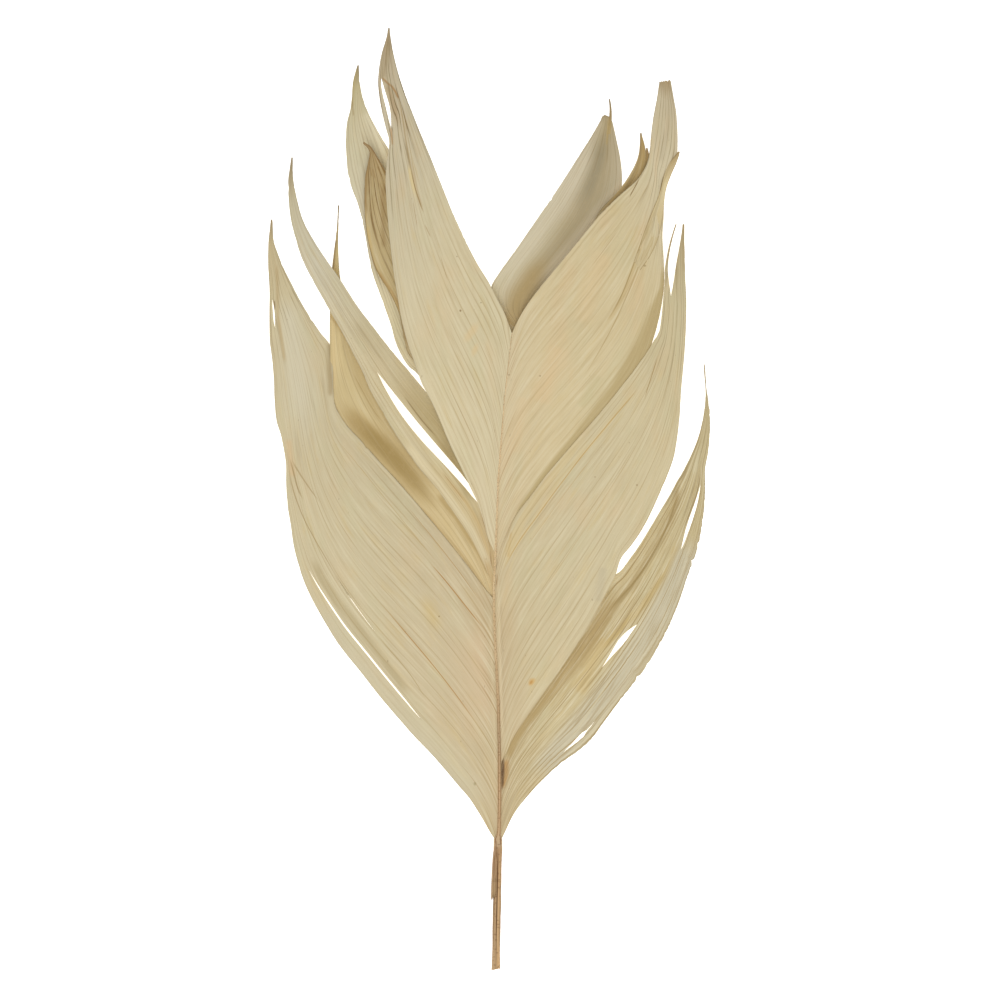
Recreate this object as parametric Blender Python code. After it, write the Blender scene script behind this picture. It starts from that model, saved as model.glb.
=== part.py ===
# A dried guaricana palm leaf, cut at the stalk and lying on its back on a flat surface.
# The stalk runs on as the midrib, which thins out towards the upper leaflets. The cream blade is
# a root band that hugs both sides of the midrib like a hairpin, and eleven pleated leaflets that
# grow out of it, lie over each other and end in long points.
# Metres, +Z up, +Y towards the leaflet tips. The origin is under the middle of the leaf.

import math

import bmesh
import bpy
import numpy as np

MM = 0.001

# Driving dimensions.
LEAF_LENGTH = 0.612
BLADE_THICKNESS = 0.7 * MM
PLEAT_DEPTH = 0.4 * MM
PLEAT_SLOPE = 0.12  # the most that a pleat is deep, as a share of its width
PLEAT_EASE = 0.3  # how abruptly the pleats flatten out at the root and the tip
BAND_WIDTH = 1.0 * MM
BAND_HEIGHT = 3.0 * MM
CLEARANCE = 0.3 * MM

# Outlines are drawn on a sheet of 1000 by 1000 units, x to the right and y downwards, on which
# the leaf is SHEET_LENGTH units long and its middle is at SHEET_MIDDLE.
SHEET_LENGTH = 942
SHEET_MIDDLE = (489, 499)
UNIT = LEAF_LENGTH / SHEET_LENGTH

# Stations of the stalk and midrib, from the cut end to the tip: sheet y, sheet x, then the width,
# height, height of the centre above the surface and depth of the groove along the top, in mm.
MIDRIB = [
    (970, 495.8, 5.6, 5.0, 2.5, 0.9),
    (900, 496.5, 5.6, 5.0, 2.5, 0.8),
    (862, 497.0, 5.4, 4.9, 2.6, 0.5),
    (842, 497.3, 3.8, 4.4, 3.0, 0.2),
    (800, 498.2, 3.2, 4.0, 4.4, 0.2),
    (755, 499.3, 3.0, 3.8, 6.2, 0.2),
    (700, 498.0, 2.6, 3.6, 8.3, 0.15),
    (620, 495.3, 2.2, 3.3, 11.2, 0.15),
    (555, 495.3, 1.8, 3.0, 13.4, 0.1),
    (480, 498.0, 1.4, 2.6, 16.0, 0.1),
    (400, 504.0, 1.0, 2.2, 18.6, 0.1),
    (333, 512.0, 0.8, 1.8, 20.6, 0.05),
]
MIDRIB_STEP = 16
BAND_END = 836
BAND_STEP = 20
TURN_REACH = 4
TURN_STEPS = 8
STALK_SIDES = 8

# A strip of bark that has come loose on the left of the stalk, with a torn lower end.
BARK_OUTLINE = [
    (495.0, 846), (493.2, 858), (492.2, 880), (491.4, 900), (492.5, 896),
    (493.3, 902), (494.3, 897), (495.3, 901), (496.0, 880), (496.0, 850),
]
BARK_BOTTOM = 1.0 * MM
BARK_TOP = 5.3 * MM

SHARP_ANGLE = math.radians(35)

# How fast a leaflet's surface leaves the curve of the midrib, as a power of the way to its tip.
ROOT_FADE = 6
DENSE_POINTS = 400

# Each leaflet lies between an inner edge, nearer to the leaf's middle line, and an outer edge,
# both drawn on the sheet from the root to the tip. The root is two distances along the hairpin
# from the midrib's tip, negative on the left. "layer" is the root's height in the band at both
# ends, and the other heights are at even steps along each edge, all in mm. A slit is its column,
# its start and end as shares of the length, and its width in sheet units. The columns beside it
# draw together to make room, and an end past 1 leaves it open at the tip.
LEAFLETS = {
    "left_front": dict(
        root=(-1, -235), layer=(1.0, 1.0), columns=8, rows=22, arch=2.0,
        inner=[(500, 303), (491, 287), (470, 248), (447, 200), (431, 160), (414, 120), (400, 80),
               (391, 42), (389.6, 28)],
        outer=[(485, 525), (473, 490), (452, 447), (430, 395), (413, 361), (400, 313), (391, 250),
               (386, 190), (389, 150), (383, 112), (379, 78), (384, 50), (387.6, 29)],
        inner_heights=(26, 30, 31, 27, 20),
        outer_heights=(18, 22, 25, 24, 19.5),
        slit=(6, 0.8, 0.93, 4),
    ),
    "left_curled": dict(
        root=(-67, -92), layer=(-0.1, -0.1), columns=2, rows=12, arch=0.3,
        inner=[(480, 362), (442, 300), (408, 225), (388, 178), (378, 160), (370, 147)],
        outer=[(476, 390), (440, 382), (412, 362), (399, 315), (380, 275), (367, 230), (365, 200),
               (366, 170), (368, 147)],
        inner_heights=(19.8, 20.6, 20.6, 19.6, 18.6),
        outer_heights=(18.9, 19.2, 19.0, 18.4, 18.2),
        slit=None,
    ),
    "left_back": dict(
        root=(-100, -162), layer=(-1.1, -1.1), columns=4, rows=16, arch=0.5,
        inner=[(472, 400), (440, 345), (415, 285), (400, 225), (390, 165), (376, 130), (364, 105),
               (360, 88), (359, 66)],
        outer=[(478, 462), (448, 412), (419, 376), (398, 345), (386, 312), (376, 282), (366, 235),
               (353, 190), (346, 140), (350, 110), (352, 90), (357, 66)],
        inner_heights=(17.6, 17.4, 16.6, 15, 11),
        outer_heights=(15.4, 15.5, 14.5, 12.5, 10.5),
        slit=None,
    ),
    "left_second": dict(
        root=(-172, -255), layer=(-0.1, -0.1), columns=6, rows=20, arch=1.0,
        inner=[(473, 455), (448, 415), (427, 391), (400, 359), (370, 321), (350, 295), (326, 260),
               (311, 232), (299, 208), (293.5, 182), (293, 157)],
        outer=[(485, 558), (475, 535), (460, 510), (420, 457), (390, 415), (362, 370), (350, 343),
               (330, 309), (311, 275), (294, 230), (288, 200), (290, 172), (291, 157)],
        inner_heights=(15.6, 15.8, 14.5, 11.5, 8),
        outer_heights=(12.8, 12.6, 12, 10, 7.5),
        slit=(3, 0.12, 0.5, 9),
    ),
    "left_under": dict(
        root=(-246, -276), layer=(-1.1, -1.1), columns=3, rows=18, arch=0.3,
        inner=[(478, 540), (462, 515), (430, 465), (395, 410), (368, 365), (352, 325), (342, 290),
               (340, 262), (340, 235), (339.4, 206)],
        outer=[(477, 588), (448, 556), (420, 524), (392, 490), (367, 456), (350, 432), (334, 404),
               (331, 380), (330, 350), (330, 312), (332, 270), (336, 235), (337.4, 206)],
        inner_heights=(9.8, 8.4, 8.2, 8.5, 9),
        outer_heights=(8.2, 6.2, 6.2, 7.4, 8.5),
        slit=None,
    ),
    "left_low": dict(
        root=(-273, -502), layer=(0.4, 0.4), columns=10, rows=26, arch=2.5,
        inner=[(487, 592), (460, 557), (430, 520), (400, 485), (380, 462), (360, 440), (345, 423),
               (331, 402), (328.5, 375), (327, 345), (310, 320), (300, 302), (288, 278), (276, 250),
               (272.2, 219)],
        outer=[(488, 825), (460, 785), (420, 740), (380, 693), (340, 643), (310, 595), (296, 558),
               (289, 515), (286, 465), (276, 420), (274, 380), (269, 335), (269.5, 290), (268, 255),
               (270, 219)],
        inner_heights=(12.4, 11.4, 7.0, 3.4, 1.6),
        outer_heights=(4.0, 3.0, 1.6, -0.6, 1.2),
        slit=(9, 0.2, 0.52, 2.4),
    ),
    "right_back": dict(
        root=(-2, 10), layer=(-1.1, -1.1), columns=4, rows=16, arch=-2.5,
        inner=[(503, 318), (491, 302), (491, 286), (510, 259), (530, 229), (550, 201), (580, 156),
               (600, 121), (603.6, 115.5)],
        outer=[(525, 322), (550, 298), (585, 258), (610, 217), (620, 187), (621, 165), (614, 130),
               (608.4, 117)],
        inner_heights=(21, 22, 22, 19.5, 15.5),
        outer_heights=(21, 22.4, 22.6, 20.5, 16),
        slit=None,
    ),
    "right_margin": dict(
        root=(12, 34), layer=(-0.1, -0.1), columns=2, rows=14, arch=0.2,
        inner=[(530, 320), (560, 280), (588, 238), (600, 212), (612, 195), (628, 176), (638, 160),
               (641, 150), (641, 136)],
        outer=[(543, 325), (574, 286), (604, 244), (626, 206), (645, 172), (649, 155), (642.8, 136)],
        inner_heights=(23, 25.2, 25.6, 24.6, 23.4),
        outer_heights=(22.6, 24.6, 25, 24.4, 23.2),
        slit=None,
    ),
    "right_front": dict(
        root=(1, 235), layer=(1.0, -0.6), columns=8, rows=22, arch=2.0,
        inner=[(520, 317), (540, 288), (570, 252), (600, 214), (628, 188), (645, 168), (650, 145),
               (655, 112), (659, 81)],
        outer=[(514, 536), (540, 506), (572, 466), (605, 426), (632, 392), (645, 366), (650, 346),
               (656, 328), (660, 312), (663, 285), (664, 265), (662, 235), (663, 200), (668, 180),
               (676, 158), (677, 130), (673, 95), (669, 79)],
        inner_heights=(25.6, 28.4, 28.6, 24.6, 18),
        outer_heights=(14.2, 15.4, 16.4, 17.4, 17),
        slit=None,
    ),
    "right_second": dict(
        root=(233, 427), layer=(0.6, 0.4), columns=8, rows=26, arch=1.5,
        inner=[(500, 550), (506, 537), (519, 513), (546, 477), (577, 440), (610, 400), (630, 380),
               (640, 362), (651, 346), (660, 329), (663, 310), (664, 285), (666, 264), (672, 240),
               (676, 224)],
        outer=[(510, 738), (530, 710), (560, 670), (590, 623), (613, 578), (622, 555), (640, 530),
               (660, 490), (676, 435), (682, 380), (686, 320), (685, 280), (684.6, 226)],
        inner_heights=(17.5, 19, 19, 17.5, 15.5),
        outer_heights=(8.5, 9, 9.5, 10.5, 13),
        slit=(4, 0.86, 1.14, 7.5),
    ),
    "right_low": dict(
        root=(436, 502), layer=(-1.1, 0.2), columns=8, rows=24, arch=1.2,
        inner=[(522, 728), (548, 690), (575, 643), (595, 605), (613, 580), (630, 555), (650, 524),
               (684, 468), (697, 440), (706, 405), (705, 382), (703.4, 364)],
        outer=[(508, 820), (530, 790), (565, 757), (600, 725), (628, 688), (655, 655), (673, 617),
               (690, 568), (701, 530), (706, 490), (711, 435), (709, 400), (705.2, 364)],
        inner_heights=(5, 4.8, 4, 2.4, 1.4),
        outer_heights=(3.2, 2.6, 1.6, 0.2, 0.9),
        slit=(6, 0.62, 0.78, 5),
    ),
}

BLADE_COLOUR = (0.62, 0.52, 0.32, 1.0)
BLADE_ROUGHNESS = 0.72
STALK_COLOUR = (0.42, 0.22, 0.09, 1.0)
STALK_ROUGHNESS = 0.6


def to_world(sheet_point):
    """The place in metres of a point on the sheet."""
    return np.array(
        [(sheet_point[0] - SHEET_MIDDLE[0]) * UNIT, (SHEET_MIDDLE[1] - sheet_point[1]) * UNIT]
    )


def smooth_curve(points, places):
    """Points on a Catmull-Rom curve through the given ones. Places run from 0 to 1."""
    points = np.asarray(points, float)
    first_guide = 2 * points[0] - points[1]
    last_guide = 2 * points[-1] - points[-2]
    padded = np.vstack([first_guide, points, last_guide])
    spans = len(points) - 1
    along = np.clip(np.asarray(places, float) * spans, 0, spans)
    span = np.minimum(along.astype(int), spans - 1)
    t = (along - span)[:, None]
    before, start, end, after = (padded[span + k] for k in range(4))
    cubic = 3 * (start - end) + after - before
    square = 2 * before - 5 * start + 4 * end - after
    return start + 0.5 * t * (end - before + t * (square + t * cubic))


def midrib_at(sheet_y):
    """Sheet x, width, height, centre height and groove depth of the midrib, in metres."""
    table = np.array(MIDRIB)[::-1]
    x, *sizes = (np.interp(sheet_y, table[:, 0], table[:, k]) for k in range(1, 6))
    return (x, *(size * MM for size in sizes))


def hairpin_point(distance):
    """The root band's centre at a sheet distance from the midrib's tip, negative on the left."""
    tip_y = MIDRIB[-1][0]
    side = math.copysign(1, distance)
    tip_x, tip_width, _, tip_height, _ = midrib_at(tip_y)
    radius = (tip_width / 2 + CLEARANCE + BAND_WIDTH / 2) / UNIT
    quarter = radius * math.pi / 2
    if abs(distance) < quarter:
        angle = distance / radius
        turn = (tip_x + radius * math.sin(angle), tip_y - radius * math.cos(angle))
        return np.array([*to_world(turn), tip_height])
    sheet_y = tip_y + abs(distance) - quarter
    x, width, _, height, _ = midrib_at(sheet_y)
    centre = to_world((x, sheet_y))
    centre[0] += side * (width / 2 + CLEARANCE + BAND_WIDTH / 2)
    return np.array([*centre, height])


def edge_curve(root_point, outline, heights, places):
    """An edge of a leaflet at even steps along its length."""
    plan = np.vstack([root_point[:2], [to_world(point) for point in outline]])
    dense = smooth_curve(plan, np.linspace(0, 1, DENSE_POINTS))
    steps = np.linalg.norm(np.diff(dense, axis=0), axis=1)
    travelled = np.concatenate([[0], np.cumsum(steps)])
    wanted = places * travelled[-1]
    levels = np.concatenate([[root_point[2]], np.array(heights) * MM])
    return np.column_stack([
        np.interp(wanted, travelled, dense[:, 0]),
        np.interp(wanted, travelled, dense[:, 1]),
        smooth_curve(levels[:, None], places)[:, 0],
    ])


def leaflet_grid(leaflet):
    """The middle surface of a leaflet, as points by column (inner to outer) and row (root to tip)."""
    across = np.linspace(0, 1, leaflet["columns"] + 1)
    along = np.linspace(0, 1, leaflet["rows"] + 1)
    start, end = leaflet["root"]
    root = np.array([hairpin_point(start + (end - start) * share) for share in across])
    root[:, 2] += np.interp(across, [0, 1], leaflet["layer"]) * MM
    inner = edge_curve(root[0], leaflet["inner"], leaflet["inner_heights"], along)
    outer = edge_curve(root[-1], leaflet["outer"], leaflet["outer_heights"], along)
    share = across[:, None, None]
    grid = inner * (1 - share) + outer * share
    bow = root - grid[:, 0]
    grid += bow[:, None] * ((1 - along) ** ROOT_FADE)[None, :, None]
    column_width = np.linalg.norm(outer - inner, axis=1) / leaflet["columns"]
    pleat = np.minimum(PLEAT_DEPTH, PLEAT_SLOPE * column_width) * np.sin(math.pi * along) ** PLEAT_EASE
    ridge = (-1.0) ** np.arange(leaflet["columns"] + 1)
    swell = np.outer(4 * across * (1 - across), np.sin(math.pi * along))
    grid[..., 2] += leaflet["arch"] * MM * swell + np.outer(ridge, pleat)
    grid[..., 2] = np.maximum(grid[..., 2], BLADE_THICKNESS / 2)
    return grid


def slit_halves(grid, leaflet):
    """Half of the slit's opening at each row, as a vector across the leaflet."""
    if leaflet["slit"] is None:
        return np.zeros_like(grid[0])
    column, start, end, width = leaflet["slit"]
    along = np.linspace(0, 1, leaflet["rows"] + 1)
    across = grid[-1] - grid[0]
    across /= np.linalg.norm(across, axis=1)[:, None]
    is_open = (start < along) & (along < end)
    opening = np.where(is_open, np.sin(math.pi * (along - start) / (end - start)), 0)
    return across * (opening * width * UNIT / 2)[:, None]


def mesh_object(name, bm):
    """A new object holding the bmesh."""
    bmesh.ops.recalc_face_normals(bm, faces=bm.faces)
    mesh = bpy.data.meshes.new(name)
    bm.to_mesh(mesh)
    bm.free()
    return bpy.data.objects.new(name, mesh)


def apply_modifier(obj, modifier):
    with bpy.context.temp_override(object=obj, active_object=obj):
        bpy.ops.object.modifier_apply(modifier=modifier.name)


def make_leaflet(name, leaflet, collection):
    """One leaflet: its middle surface in triangles, thickened to both sides."""
    grid = leaflet_grid(leaflet)
    halves = slit_halves(grid, leaflet)
    columns, rows = leaflet["columns"], leaflet["rows"]
    slit_column = columns if leaflet["slit"] is None else leaflet["slit"][0]
    bm = bmesh.new()
    vertices = {}
    for column in range(columns + 1):
        inner_share = min(1, column / slit_column)
        outer_share = min(1, (columns - column) / max(1, columns - slit_column))
        for row in range(rows + 1):
            half = halves[row]
            is_open = column == slit_column and half.any()
            if column <= slit_column:
                vertex = bm.verts.new(grid[column, row] - half * inner_share)
                vertices[column, row, "before"] = vertex
            if column > slit_column or is_open:
                vertex = bm.verts.new(grid[column, row] + half * outer_share)
            vertices[column, row, "after"] = vertex
            if column > slit_column:
                vertices[column, row, "before"] = vertex
    for column in range(columns):
        for row in range(rows):
            corners = [
                vertices[column, row, "after"],
                vertices[column + 1, row, "before"],
                vertices[column + 1, row + 1, "before"],
                vertices[column, row + 1, "after"],
            ]
            bm.faces.new((corners[0], corners[1], corners[2]))
            bm.faces.new((corners[0], corners[2], corners[3]))
    obj = mesh_object(name, bm)
    collection.objects.link(obj)
    solidify = obj.modifiers.new("Thickness", "SOLIDIFY")
    solidify.thickness = BLADE_THICKNESS
    solidify.offset = 0
    apply_modifier(obj, solidify)
    return obj


def loft(bm, rings):
    """Joins rings of equally many points by side faces, and closes both ends."""
    loops = [[bm.verts.new(point) for point in ring] for ring in rings]
    for near, far in zip(loops, loops[1:]):
        for k in range(len(near)):
            following = (k + 1) % len(near)
            bm.faces.new((near[k], near[following], far[following], far[k]))
    bm.faces.new(loops[0])
    bm.faces.new(loops[-1])


def make_band():
    """The hairpin of tissue along the midrib that all the leaflets grow from."""
    tip_y = MIDRIB[-1][0]
    straight = np.arange(BAND_END - tip_y, TURN_REACH, -BAND_STEP, dtype=float)
    turn = np.linspace(-TURN_REACH, TURN_REACH, TURN_STEPS + 1)
    distances = np.concatenate([-straight, turn, straight[::-1]])
    centres = np.array([hairpin_point(distance) for distance in distances])
    tangents = np.gradient(centres[:, :2], axis=0)
    rings = []
    for centre, tangent in zip(centres, tangents):
        across = np.array([tangent[1], -tangent[0], 0]) / np.linalg.norm(tangent)
        up = np.array([0, 0, 1])
        corners = [(-1, -1), (1, -1), (1, 1), (-1, 1)]
        rings.append([
            centre + across * BAND_WIDTH / 2 * a + up * BAND_HEIGHT / 2 * b for a, b in corners
        ])
    bm = bmesh.new()
    loft(bm, rings)
    return mesh_object("blade", bm)


def stalk_ring(sheet_y):
    """An octagon with flat sides below and beside it and a groove along its top."""
    x, width, height, level, groove = midrib_at(sheet_y)
    centre = np.array([*to_world((x, sheet_y)), level])
    ring = []
    turn = math.tau / STALK_SIDES
    reach = math.cos(turn / 2)
    for k in range(STALK_SIDES):
        angle = turn * (k + 0.5)
        side = math.cos(angle) / reach * width / 2
        rise = math.sin(angle) / reach * height / 2
        ring.append(centre + (side, 0, rise))
        if k + 1 == STALK_SIDES // 4:
            ring.append(centre + (0, 0, height / 2 - groove))
    return ring


def make_bark_strip(collection):
    bm = bmesh.new()
    lower = [bm.verts.new((*to_world(point), BARK_BOTTOM)) for point in BARK_OUTLINE]
    strip = bm.faces.new(lower)
    raised = bmesh.ops.extrude_face_region(bm, geom=[strip])
    tops = [item for item in raised["geom"] if isinstance(item, bmesh.types.BMVert)]
    bmesh.ops.translate(bm, verts=tops, vec=(0, 0, BARK_TOP - BARK_BOTTOM))
    collection.objects.link(mesh_object("bark_strip", bm))


def make_stalk():
    ends = MIDRIB[0][0], MIDRIB[-1][0]
    stations = sorted({row[0] for row in MIDRIB} | set(range(ends[1], ends[0], MIDRIB_STEP)))
    bm = bmesh.new()
    loft(bm, [stalk_ring(sheet_y) for sheet_y in stations])
    return mesh_object("stalk", bm)


def fuse(obj, collection):
    """Joins the collection's shapes to the object by one Boolean union, and removes them."""
    bpy.context.scene.collection.objects.link(obj)
    union = obj.modifiers.new("Fused", "BOOLEAN")
    union.operation = "UNION"
    union.solver = "EXACT"
    union.operand_type = "COLLECTION"
    union.collection = collection
    apply_modifier(obj, union)
    for part in list(collection.objects):
        bpy.data.objects.remove(part)
    bpy.data.collections.remove(collection)


def give_material(obj, colour, roughness):
    material = bpy.data.materials.new(obj.name)
    material.use_nodes = True
    shader = material.node_tree.nodes["Principled BSDF"]
    shader.inputs["Base Color"].default_value = colour
    shader.inputs["Roughness"].default_value = roughness
    shader.inputs["Metallic"].default_value = 0.0
    material.diffuse_color = colour
    obj.data.materials.clear()
    obj.data.materials.append(material)
    obj.data.shade_smooth()
    obj.data.set_sharp_from_angle(angle=SHARP_ANGLE)


def main():
    for obj in list(bpy.data.objects):
        bpy.data.objects.remove(obj)

    leaflets = bpy.data.collections.new("leaflets")
    bpy.context.scene.collection.children.link(leaflets)
    for name, leaflet in LEAFLETS.items():
        make_leaflet(name, leaflet, leaflets)
    blade = make_band()
    fuse(blade, leaflets)
    give_material(blade, BLADE_COLOUR, BLADE_ROUGHNESS)

    bark = bpy.data.collections.new("bark")
    bpy.context.scene.collection.children.link(bark)
    make_bark_strip(bark)
    stalk = make_stalk()
    fuse(stalk, bark)
    give_material(stalk, STALK_COLOUR, STALK_ROUGHNESS)


main()
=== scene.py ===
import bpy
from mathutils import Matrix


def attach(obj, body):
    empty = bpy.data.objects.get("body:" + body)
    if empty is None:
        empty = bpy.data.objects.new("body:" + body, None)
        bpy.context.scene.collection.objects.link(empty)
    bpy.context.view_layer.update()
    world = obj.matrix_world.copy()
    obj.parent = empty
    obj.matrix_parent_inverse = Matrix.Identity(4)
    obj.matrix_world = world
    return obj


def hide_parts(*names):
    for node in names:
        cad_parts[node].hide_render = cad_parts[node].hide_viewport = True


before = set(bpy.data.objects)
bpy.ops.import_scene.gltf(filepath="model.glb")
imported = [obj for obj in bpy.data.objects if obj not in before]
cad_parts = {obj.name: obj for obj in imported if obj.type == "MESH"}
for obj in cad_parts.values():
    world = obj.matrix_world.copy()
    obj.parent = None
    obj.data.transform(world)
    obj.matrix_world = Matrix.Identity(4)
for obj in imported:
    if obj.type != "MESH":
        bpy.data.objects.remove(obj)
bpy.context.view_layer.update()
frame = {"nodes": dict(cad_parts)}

import math

import bpy
import numpy as np

# A dried guaricana palm leaf that lies on its back. Its outlines are drawn on a sheet of 1000 by
# 1000 units, x to the right and y downwards, on which the leaf is 942 units long.
sheetSize = 1000
pixel = 0.612 / 942
sheetMiddle = (489, 499)
mm = 0.001

leafThickness = 0.35 * mm
lowest = 0.7 * leafThickness  # no leaflet's middle comes nearer to the floor
smoothAngle = math.radians(50)
rootFade = 6  # how fast a leaflet leaves the line of the midrib
bendFade = 6  # how fast the bends of an edge fade towards its leaflet's middle
edgeShares = np.linspace(0, 1, 801)
rootShares = np.linspace(0, 1, 301)
curvePlaces = np.linspace(0, 1, 1200)
onColumn = 1e-5  # how near a grid point is to a column that it belongs to

# The sizes of what is uneven on every leaflet: bites and nicks in its edges, waves and finer bands.
unevenSizes = dict(bite=9 * mm, nick=2.5 * mm, wave=60 * mm, band=11 * mm)

# How an edge lies on the leaflet below it: how near that one has to be, the gap that stays between
# their middles, how far the edge may rise or sink, how far into the leaflet this reaches, and over how
# many rows of its grid either way it is evened out.
resting = dict(near=1.5 * mm, gap=0.55 * mm, rise=0.4 * mm, sink=1.7 * mm, reach=10 * mm, rows=10)

print("Frame loaded:", ", ".join(frame["nodes"]))


def onSheet(points):
    points = np.asarray(points, float).reshape(-1, 2)
    x = (points[:, 0] - sheetMiddle[0]) * pixel
    return np.column_stack([x, (sheetMiddle[1] - points[:, 1]) * pixel])


def smoothCurve(points, places):  # Catmull-Rom through the points, places from 0 to 1
    points = np.asarray(points, float)
    padded = np.vstack([2 * points[0] - points[1], points, 2 * points[-1] - points[-2]])
    spans = len(points) - 1
    along = np.clip(np.asarray(places, float) * spans, 0, spans)
    span = np.minimum(along.astype(int), spans - 1)
    t = (along - span)[:, None]
    before, start, end, after = (padded[span + k] for k in range(4))
    cubic = 3 * (start - end) + after - before
    square = 2 * before - 5 * start + 4 * end - after
    return start + 0.5 * t * (end - before + t * (square + t * cubic))


def smoothStep(value, low, high):
    t = np.clip((value - low) / (high - low), 0, 1)
    return t * t * (3 - 2 * t)


def faded(share, ends, beyond=0.0):  # 1 along a line and 0 at its ends
    return smoothStep(share, -beyond, ends[0]) * (1 - smoothStep(share, 1 - ends[1], 1 + beyond))


def columnsAt(table, places, where):  # each column of a table read at the places
    return np.column_stack([np.interp(where, places, column) for column in table.T])


def travelled(line):  # how far along a line each of its points lies
    steps = np.linalg.norm(np.diff(line, axis=0), axis=1)
    return np.concatenate([[0], np.cumsum(steps)])


def evenPoints(outline, count):  # points at even shares of a line's length, and that length
    dense = smoothCurve(outline, curvePlaces)
    way = travelled(dense)
    return columnsAt(dense, way, np.linspace(0, way[-1], count)), way[-1]


def nearestTo(cloud, places):  # the index of the point of a flat cloud nearest to each place
    return [np.argmin(((cloud - place) ** 2).sum(axis=1)) for place in places]


# The midrib's stations from the cut end to the tip: sheet y, sheet x, and then in mm its width,
# its height, how high its centre lies, and the depth of its groove.
midrib = dict(
    stations=[
        (970, 495.9, 5.6, 5.0, 2.5, 0.2), (950, 496.2, 5.1, 5.0, 2.5, 0.3),
        (920, 496.6, 4.9, 5.0, 2.5, 0.45), (900, 497.1, 5.0, 5.0, 2.5, 0.45),
        (862, 497.9, 5.0, 4.9, 2.6, 0.4), (846, 498.0, 5.4, 4.7, 2.8, 0.2),
        (839, 498.0, 5.6, 4.4, 3.0, 0.2), (836, 498.5, 3.0, 4.3, 3.1, 0.2),
        (828, 499.0, 2.4, 4.2, 3.4, 0.2), (800, 499.6, 2.4, 4.0, 4.4, 0.2),
        (755, 499.4, 2.2, 3.8, 6.2, 0.2), (700, 498.2, 2.0, 3.6, 8.3, 0.15),
        (660, 496.0, 1.8, 3.4, 9.8, 0.15), (620, 494.2, 1.6, 3.3, 11.2, 0.15),
        (585, 493.8, 1.5, 3.1, 12.4, 0.1), (555, 495.4, 1.4, 3.0, 13.4, 0.1),
        (480, 498.0, 1.2, 2.6, 16.0, 0.1), (400, 504.2, 0.9, 2.2, 18.6, 0.1),
        (333, 512.0, 0.8, 1.8, 20.6, 0.05),
    ],
    leafGap=-0.15 * mm,  # how far from the midrib's side the leaflets start
    ribTurn=9,  # sheet units within which the ribs turn away from it
    ribShift=16,  # and how many sheet units of root they shift by
    around=40, along=420,  # faces
    squarish=0.8,  # its section is an ellipse at 1, and squarer below
    grooveWidth=0.11, strands=13, uneven=0.05,  # width and unevenness as shares of its half width
    length=414,  # mm, for the pattern along it
    tones=[  # from the cut end to the tip
        (0.0, (182, 150, 108)), (0.1, (178, 146, 104)), (0.15, (172, 136, 94)), (0.19, (172, 136, 94)),
        (0.194, (192, 164, 126)), (0.207, (192, 164, 126)), (0.212, (200, 168, 126)),
        (0.3, (200, 168, 126)), (0.36, (184, 158, 120)), (0.43, (200, 172, 130)),
        (0.62, (226, 200, 154)), (0.8, (238, 212, 168)), (1.0, (238, 214, 170)),
    ],
)


def midribAt(sheetY):
    table = np.array(midrib["stations"])[::-1]
    return [np.interp(sheetY, table[:, 0], table[:, k]) for k in range(1, 6)]


def fromMidrib(places):  # distance from the midrib's middle line in sheet units
    x = places[:, 0] / pixel + sheetMiddle[0]
    y = sheetMiddle[1] - places[:, 1] / pixel
    beyond = np.maximum(midrib["stations"][-1][0] - y, 0)
    return np.hypot(x - midribAt(y)[0], beyond)


def hairpin(distances):  # the line of roots round the midrib, by distance from its tip, left below 0
    distances = np.asarray(distances, float)
    tipY = midrib["stations"][-1][0]
    tipReach = (midribAt(tipY)[1] / 2 * mm + midrib["leafGap"]) / pixel
    quarter = tipReach * math.pi / 2
    turning = np.abs(distances) < quarter
    sheetY = tipY + np.maximum(np.abs(distances) - quarter, 0)
    x, width, _, height, _ = midribAt(sheetY)
    reach = (width / 2 * mm + midrib["leafGap"]) / pixel
    angle = distances / tipReach
    sideways = np.where(turning, np.sin(angle), np.sign(distances)) * reach
    ahead = np.where(turning, np.cos(angle), 0) * tipReach
    flat = onSheet(np.column_stack([x + sideways, sheetY - ahead]))
    return np.column_stack([flat, height * mm])


def edgeLine(root, outline, heights):  # one edge of a leaflet at even shares of its length
    flat, length = evenPoints(np.vstack([root[:2], onSheet(outline)]), len(edgeShares))
    levels = np.concatenate([[root[2]], np.array(heights) * mm])[:, None]
    return np.column_stack([flat, smoothCurve(levels, edgeShares)]), length


def calmed(edge):  # an edge without its small bends, for the ribs further in
    shares = edgeShares
    smooth = np.column_stack([np.polyval(np.polyfit(shares, column, 6), shares) for column in edge.T])
    atStart, atEnd = edge[0] - smooth[0], edge[-1] - smooth[-1]
    return smooth + atStart * (1 - shares[:, None]) + atEnd * shares[:, None]


shapes = {}  # the leaflets' smooth surfaces by name


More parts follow.
